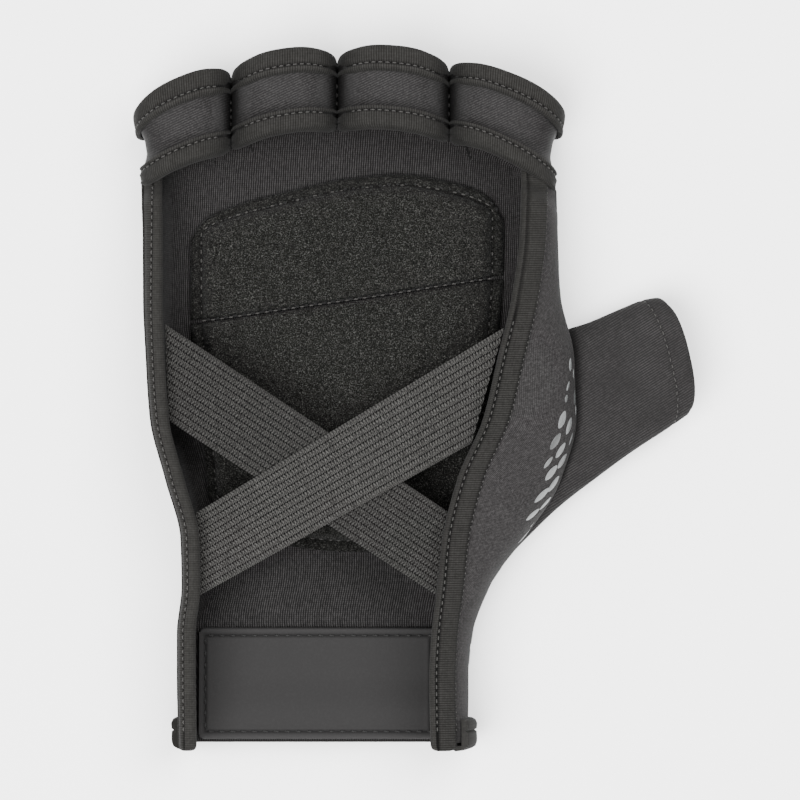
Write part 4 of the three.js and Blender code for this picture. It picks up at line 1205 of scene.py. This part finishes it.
def pad_shade(depth, from_groove):
    """Painted shade of the patch: darker at its edge, along its sewn border and in its groove."""
    rim = 0.65 + 0.35 * smoothstep(depth, 0.2, 1.0)
    border = (1 - 0.5 * dip(depth - PAD_BORDER, 0.35)) * lerp(0.8, 1.0, smoothstep(depth, 2.2, 3.2))
    return rim * border * lerp(0.45, 1.0, smoothstep(from_groove, 0.0, 0.6))


def pad_height(y, depth, from_groove):
    """Height of the patch's top, pressed down where it is sewn."""
    swollen = smoothstep(depth, PAD_BORDER * 0.8, PAD_BORDER + PAD_RISE)
    edge = 1 - 0.55 * dip(depth, 0.35)
    sewn = 0.5 * dip(depth - PAD_BORDER, 0.4) + 0.7 * dip(from_groove, 0.9)
    return floor_height(y) + PAD_CLEAR + lerp(PAD_EDGE_THICKNESS, PAD_THICKNESS, swollen) * edge - sewn


def terry_pad(name, node, edges, size, seed, **options):
    """One half of the looped patch, with its crumbly pile in the mesh."""
    side = np.linspace(0, 1, size[0])[None, :]
    up = np.linspace(0, 1, size[1])[:, None]
    x, y, depth, from_groove = pad_place(*edges, side, up, **options)
    random = np.random.default_rng(seed)
    crumb = random.normal(size=(size[1], size[0]))
    crumb = (crumb + np.roll(crumb, 1, 0) + np.roll(crumb, 1, 1) + np.roll(crumb, (1, 1), (0, 1))) / 2
    crumb *= PAD_CRUMB * smoothstep(depth, 0.0, 0.5)
    crumb = np.clip(crumb, -PAD_CRUMB_LIMIT, PAD_CRUMB_LIMIT)
    top_face = stacked(x, y, pad_height(y, depth, from_groove) + crumb)
    under = stacked(x, y, floor_height(y) + PAD_CLEAR)
    piece = sheet(name, top_face, under, TERRY, shade=pad_shade(depth, from_groove), nodes=(node,),
                  slot="terry", smooth_angle=180)


terry_pad("terry_upper", "palm_pad_upper", (GROOVE, TOP_EDGE), (190, 86), 21, **UPPER)
terry_pad("terry_lower", "palm_pad_lower", (BOTTOM_EDGE, GROOVE), (190, 160), 22, **LOWER)


# Wrist tab

def wrist_tab():
    """The plain tab with rounded corners, sewn down on three sides."""
    low, high = plan(TAB_SIDES[0], TAB_ENDS[0]), plan(TAB_SIDES[1], TAB_ENDS[1])
    x = lerp(low[0], high[0], np.linspace(0, 1, TAB_COLUMNS))[None, :]
    y = lerp(low[1], high[1], np.linspace(0, 1, TAB_ROWS))[:, None]
    reach = np.maximum(0, TAB_CORNER - np.minimum(x - low[0], high[0] - x))
    cut = TAB_CORNER - np.sqrt(np.maximum(0, TAB_CORNER**2 - reach**2))
    kept = np.clip(y, low[1] + cut, high[1] - cut)
    from_edges = (x - low[0], high[0] - x, kept - low[1] - cut, high[1] - cut - kept)
    depth = np.minimum.reduce(np.broadcast_arrays(*from_edges))
    base = floor_height(kept) + GAP
    rise = TAB_THICKNESS * (0.45 + 0.55 * smoothstep(depth, 0.0, 0.45))
    sewn = TAB_SEAM_DEPTH * dip(depth - TAB_SEAM, 0.33)
    height = base + rise - sewn - 0.12 * smoothstep(depth, 2.2, 3.2)
    inset = 0.15 * dip(depth, 0.2)
    top_face = stacked(x + inset * np.sign((low[0] + high[0]) / 2 - x), kept, height)
    # Painted shade in the stitched groove and a painted highlight along the raised border.
    shade = (1 - 0.55 * dip(depth - TAB_SEAM, 0.35)) * (1 + 0.45 * dip(depth - 0.35, 0.3))
    sheet("tab_leather", top_face, stacked(x, kept, base), TAB, shade=shade, nodes=("wrist_tab",), slot="tab")
    seam = []
    left, right = low[0] + TAB_SEAM, high[0] - TAB_SEAM_END
    bottom, top = low[1] + TAB_SEAM, high[1] - TAB_SEAM
    corners = np.array([(right, top), (left, top), (left, bottom), (right, bottom)])
    for start, end in zip(corners, corners[1:]):
        x, y = lerp(start, end, np.linspace(0, 1, 60)[:, None]).T
        seam.append(upward(stacked(x, y, floor_height(y) + GAP + TAB_THICKNESS - 0.16)))
    # The tab's stitches are coloured as painted shadow, as dark as its shaded stitch holes.
    stitches("tab_stitches", seam, STITCH_SHADOW, pitch=2.35, length=1.6, width=0.55)


wrist_tab()


# Finger loops

BAND_ROWS = 26
LOOP_ANGLES = np.linspace(0, 2 * math.pi, 120, endpoint=False)
LOOP_ANGLES = LOOP_ANGLES - 0.1 * np.sin(4 * LOOP_ANGLES)


def sewn_side(index, sweep):
    """Whether places round a loop lie on a side that is sewn to a neighbour."""
    return np.where(np.cos(sweep) > 0, index < 3, index > 0)


def neighbour_side(index, sweep):
    """1 on the side of a loop that is sewn to its neighbour, fading to 0 over the finger."""
    right = smoothstep(np.cos(sweep), 0.6, 0.94) * (index < 3)
    left = smoothstep(-np.cos(sweep), 0.6, 0.94) * (index > 0)
    return right + left


def valley_shade(index, sweep, depth):
    """Painted shade of a loop: darker down its sides and darkest next to its neighbour, in the valley between
    them.
    """
    side = smoothstep(np.abs(np.cos(sweep)), 0.5, 0.98)
    return 1 - depth * side * np.where(sewn_side(index, sweep), 1.0, 0.35)


def loop_row(index, distance, sweep, outward):
    """A stitch row round a loop, at a distance from its near edge."""
    path = loop_point(index, distance, sweep, outward)
    return path, loop_point(index, distance, sweep, outward + 1) - path


def finger_band(index, name, end):
    """The satin cloth of a loop, lined inside and of shell cloth on the palm side."""
    facing = np.abs(np.cos(LOOP_ANGLES))
    below = -math.sin(2 * TRIM_WRAP)
    notch = SEAM_NOTCH * sewn_side(index, LOOP_ANGLES) * smoothstep(facing, 0.6, 0.85)
    start = np.where(np.sin(LOOP_ANGLES) > below, TRIM_WALL + GAP, notch)[:, None]
    distance = lerp(start, end, np.linspace(0, 1, BAND_ROWS)[None, :])
    joined = neighbour_side(index, LOOP_ANGLES)[:, None]
    outer = loop_point(index, distance, LOOP_ANGLES[:, None], -GAP + WEB_FILL * joined)
    inner = loop_point(index, distance, LOOP_ANGLES[:, None], -GAP - LOOP_WALL)
    looks = np.zeros((len(LOOP_ANGLES), 2 * BAND_ROWS), int)
    looks[np.sin(LOOP_ANGLES + (LOOP_ANGLES[1] - LOOP_ANGLES[0]) / 2) < below] = 2
    looks[:, BAND_ROWS:] = 1
    # Painted shade: darker down the sides, and on the lined inner face darker still towards the sides.
    shade = np.ones((1, 2 * BAND_ROWS)) * valley_shade(index, LOOP_ANGLES, 0.75)[:, None]
    shade[:, BAND_ROWS:] *= lerp(1.0, 0.3, smoothstep(facing, 0.5, 0.9))[:, None]
    hoop(f"band_{name}", np.concatenate([outer, inner[:, ::-1]], axis=1), (BAND, LINING, SHELL),
         nodes=(f"finger_loop_{name}",), slot="loop", looks=looks.ravel(), shade=shade)


def stitched_shade(distance, stitch, bulge):
    """Painted light across a trim: painted shade at its stitch row and a painted highlight on the bulge
    beside it.
    """
    return 1 - 0.75 * dip(distance - stitch, 0.22) + 0.2 * dip(distance - bulge, 0.3)


def far_tape(index, name):
    """The folded edging round the far end of a loop. Gives its stitch row."""
    length = loop_length(index)
    distance, outward = FAR_TRIM.T
    joined = neighbour_side(index, LOOP_ANGLES)[:, None]
    grid = loop_point(index, length - distance, LOOP_ANGLES[:, None],
                      outward + TRIM_TOUCH * joined * (outward > 0))
    # Painted shade down its sides and at its stitch row, and a painted highlight on its bulge.
    hoop(f"far_tape_{name}", grid, TRIM, nodes=(f"far_trim_{name}",), slot="trim",
         shade=valley_shade(index, LOOP_ANGLES, 0.5)[:, None] * stitched_shade(distance, FAR_STITCH[0], 4.0))
    sweep = np.append(LOOP_ANGLES, LOOP_ANGLES[0] + 2 * math.pi)
    return loop_row(index, length - FAR_STITCH[0], sweep, FAR_STITCH[1])


def near_tape(index, name):
    """The folded edging over the finger, slim and puckered at its ends. Gives its stitch row."""
    near, lift = (NEAR_TRIM * (NEAR_TRIM_SHARE, 1.0)).T
    stitch = NEAR_STITCH[0] * NEAR_TRIM_SHARE
    arc = np.linspace(-TRIM_WRAP, math.pi + TRIM_WRAP, 84)
    from_end = np.minimum(arc + TRIM_WRAP, math.pi + TRIM_WRAP - arc)[:, None]
    slim = np.sqrt(np.clip(from_end / 0.16, 0.05, 1))
    middle = NEAR_TRIM_WIDTH / 2
    distance = middle + (near - middle) * lerp(0.72, 1.0, slim)
    outward = lift * np.where(lift > 0, slim, 1.0)
    shallow = 1 - smoothstep(from_end, 0.2, 1.0)
    outward = np.where(outward < -1.0, lerp(outward, -1.0 + 0.1 * (outward + 1.0), shallow), outward)
    outward = outward + TRIM_TOUCH * neighbour_side(index, arc)[:, None] * (lift > 0)
    free = smoothstep(np.abs(np.cos(arc)), 0.8, 0.99) * ~sewn_side(index, arc)
    folds = dip(near - 0.9, 0.6) + dip(near - 2.5, 0.5)
    outward = outward + END_BULGE * free[:, None] * folds * (lift > 0.5)
    # Painted shade down its sides and at its stitch row, and a painted highlight on its bulge.
    hoop(f"near_tape_{name}", loop_point(index, distance, arc[:, None], outward), TRIM, joined=False,
         nodes=(f"near_trim_{name}",), slot="trim",
         shade=valley_shade(index, arc, 0.4)[:, None] * stitched_shade(near, stitch, 4.4 * NEAR_TRIM_SHARE))
    return loop_row(index, stitch, arc[4:-4], NEAR_STITCH[1])


loop_rows = []
for index, name in enumerate(LOOP_NAMES):
    band_end = loop_length(index) - TRIM_WALL - GAP
    finger_band(index, name, band_end)
    loop_rows += [far_tape(index, name), near_tape(index, name)]
    if index < 3:
        between = np.linspace(NEAR_TRIM_WIDTH, band_end - 4.0, 20)
        loop_rows.append(upward(loop_point(index, between, 0.16, WEB_FILL - GAP), lean=0.3))
stitches("loop_stitches", loop_rows, THREAD, length=1.05)


# Straps

def strap(name, node, corners, lifted, shade):
    """Woven elastic with lengthwise cords in its surface."""
    columns, rows = STRAP_RIBS * CORD_COLUMNS + 1, STRAP_ROWS
    left_top, left_foot, right_top, right_foot = (np.array(corner) for corner in corners)
    span = np.linalg.norm(plan(*right_top) - plan(*left_top))
    along = np.linspace(-STRAP_TUCK / span, 1 + STRAP_TUCK / span, rows)[:, None, None]
    across = np.linspace(0, 1, columns)[None, :, None]
    shares = lerp(lerp(left_top, right_top, along), lerp(left_foot, right_foot, along), across)
    place = plan(shares[..., 0], shares[..., 1])
    middle = strap_height(shares[..., 0], lifted)
    cords = np.abs(np.sin(across[..., 0] * STRAP_RIBS * math.pi)) ** 0.6
    edge = np.minimum(across, 1 - across)[..., 0]
    body = STRAP_THICKNESS / 2 * np.clip(edge / STRAP_EDGE_SHARE, 0.15, 1) ** 0.5
    relief = body - CORD_RELIEF * (1 - cords) * np.ones((rows, 1))
    faces = [stacked(place[..., 0], place[..., 1], middle + side * relief) for side in (1, -1)]
    cord = np.broadcast_to(across[..., 0] * STRAP_RIBS, (rows, columns))
    run = walked(faces[0], 0).mean(axis=1, keepdims=True) + np.zeros((rows, columns))
    sheet(name, *faces, ELASTIC, shade=shade, uv=np.stack([cord, run], axis=-1), nodes=(node,),
          slot="elastic")


# shade scales the elastic's colour: both straps take the elastic's darker tone, and the under strap is darker
# still as painted shade of the strap beneath.
strap("elastic_under", "strap_under", STRAPS["under"], lifted=False, shade=0.56)
strap("elastic_over", "strap_over", STRAPS["over"], lifted=True, shade=0.77)


# Patch stitches

def border_row(edges, options, start, turn):
    """A stitch row along the border of a half of the patch.

    It goes along the left side from a share of the half's height to where it turns, then across,
    and back along the right side.
    """
    t = np.linspace(0, 1, 90)
    inset = PAD_BORDER / ((PAD_SIDES[1] - PAD_SIDES[0]) * PALM_BREADTH)
    side = np.concatenate([inset + 0 * t, lerp(inset, 1 - inset, t), 1 - inset + 0 * t])
    up = np.concatenate([lerp(start, turn, t), turn + 0 * t, lerp(turn, start, t)])
    x, y, depth, from_groove = pad_place(*edges, side, up, **options)
    return upward(stacked(x, y, pad_height(y, depth, from_groove) + PAD_THREAD_LIFT))


def patch_stitches():
    """Rows along both borders and in the groove, each with a painted shadow of dark stitches beside it."""
    across = np.linspace(0.03, 0.97, 120)
    x, y = plan(lerp(PAD_SIDES[0], PAD_SIDES[1], across), GROOVE(across)).T
    rows = [border_row((GROOVE, TOP_EDGE), UPPER, 0.02, 1 - PAD_BORDER / UPPER_HEIGHT),
            border_row((BOTTOM_EDGE, GROOVE), LOWER, 0.98, PAD_BORDER / LOWER_HEIGHT),
            upward(stacked(x, y, floor_height(y) + PAD_THICKNESS - GROOVE_THREAD_DEPTH))]
    stitches("patch_stitches", rows, THREAD, pitch=1.9, width=0.34)
    # Painted shadows: dark stitches shifted a little beside each row.
    shadow_rows = [(path + STITCH_SHADOW_SHIFT, normals) for path, normals in rows]
    stitches("patch_stitch_shadows", shadow_rows, STITCH_SHADOW, pitch=1.9, length=0.9, width=0.5)


patch_stitches()


# Grip print

def thumb_side_place(x, y):
    """The place on the wall of the thumb side that shows at x and y from above."""
    share = (y - WRIST_EDGE_Y) / BODY_LENGTH
    places = np.linspace(5, 4, 200)
    across = wall_point(share, places, 0.0)[:, 0]
    return share, float(np.interp(x, np.maximum.accumulate(across), places))


def print_cell(share, place, length, width, lean):
    """Rings of one raised oval on the wall."""
    along = wall_point(share + 0.002, place, 0.0) - wall_point(share, place, 0.0)
    along_scale = 0.002 / np.linalg.norm(along)
    table = np.linspace(0, 5, 400)
    run = path_run(wall_point(share, table, 0.0))
    spot = np.interp(place, table, run)
    turn = np.linspace(0, 2 * math.pi, 14, endpoint=False)
    tall, wide = length / 2 * np.cos(turn), width / 2 * np.sin(turn) * np.abs(np.sin(turn)) ** 0.35
    angle = math.radians(lean)
    forward = tall * math.cos(angle) - wide * math.sin(angle)
    sideways = tall * math.sin(angle) + wide * math.cos(angle)
    rings = []
    for size, lift in ((1.0, -0.3), (1.0, PRINT_HEIGHT * 0.4), (0.8, PRINT_HEIGHT)):
        shares = share + forward * size * along_scale
        places = np.interp(spot - sideways * size, run, table)
        rings.append(wall_point(shares, np.clip(places, 0, 5), lift))
    return np.array(rings)


def grip_print():
    cells, bright = [], list(GRIP_OVALS[:, 5])
    for x, y, length, width, lean, _ in GRIP_OVALS:
        share, place = thumb_side_place(x, y)
        cells.append(print_cell(share, place, length, width, lean))
    table = np.linspace(*PALM_PLACES, 60)
    for row, share in enumerate(np.arange(*PALM_ROWS)):
        run = path_run(wall_point(share, table, 0.0))
        spots = np.arange(2.0 + PALM_CELL_STEP / 2 * (row % 2), run[-1] - 1.0, PALM_CELL_STEP)
        for place in np.interp(spots, run, table):
            cells.append(print_cell(share, place, *PALM_CELL))
            bright.append(1.0)
    cells, bright = np.array(cells), np.array(bright)
    clear = ~inside_sleeve(cells.mean(axis=(1, 2)), 0.5)
    clear[:len(GRIP_OVALS)] = True
    cells, bright = cells[clear], bright[clear]
    number, rings, sides = cells.shape[:3]
    quads, caps = cell_faces(number, rings, sides)
    flat = cells.reshape(-1, 3)
    make_mesh("grip_print", flat, quads, flat[:, :2], PRINT, caps=caps, slot="print",
              shade=np.repeat(bright, rings * sides))


grip_print()


# Floor, lights and camera

def floor():
    steps = np.linspace(-FLOOR_REACH, FLOOR_REACH, 9)
    grid = stacked(steps[None, :], steps[:, None], FLOOR_HEIGHT)
    look = Look("studio_floor", 0.9, specular=0.1, shaded=False, light=float)
    speck = look.noise(look.space, 40.0, 2.0)
    look.ramp(speck, (0.0, 0.93, 0.93, 0.93), (1.0, 0.96, 0.96, 0.96))
    mesh = bpy.data.meshes.new("studio_floor")
    mesh.from_pydata((grid.reshape(-1, 3) * MM).tolist(), [], grid_faces(9, 9).tolist())
    mesh.materials.append(look.material)
    piece = bpy.data.objects.new("studio_floor", mesh)
    bpy.context.collection.objects.link(piece)


def area_light(name, place, power):
    light = bpy.data.lights.new(name, "AREA")
    light.shape, light.size, light.energy = "DISK", LIGHT_SIZE, power
    lamp = bpy.data.objects.new(name, light)
    lamp.location = place
    lamp.rotation_euler = (-Vector(place)).to_track_quat("-Z", "Y").to_euler()
    bpy.context.collection.objects.link(lamp)


floor()
for lamp_name, place, power in LIGHTS:
    area_light(lamp_name, place, power)
world = bpy.data.worlds.new("studio")
world.use_nodes = True
world.node_tree.nodes["Background"].inputs["Color"].default_value = (1, 1, 1, 1)
world.node_tree.nodes["Background"].inputs["Strength"].default_value = SKY_LIGHT
bpy.context.scene.world = world

lens = bpy.data.cameras.new("view")
lens.sensor_width = SENSOR_WIDTH
lens.lens = SENSOR_WIDTH * (DISTANCE - AIM[2]) / FRAME_WIDTH
camera = bpy.data.objects.new("view", lens)
camera.location = (AIM[0] * MM, AIM[1] * MM, DISTANCE * MM)
bpy.context.collection.objects.link(camera)
bpy.context.scene.camera = camera
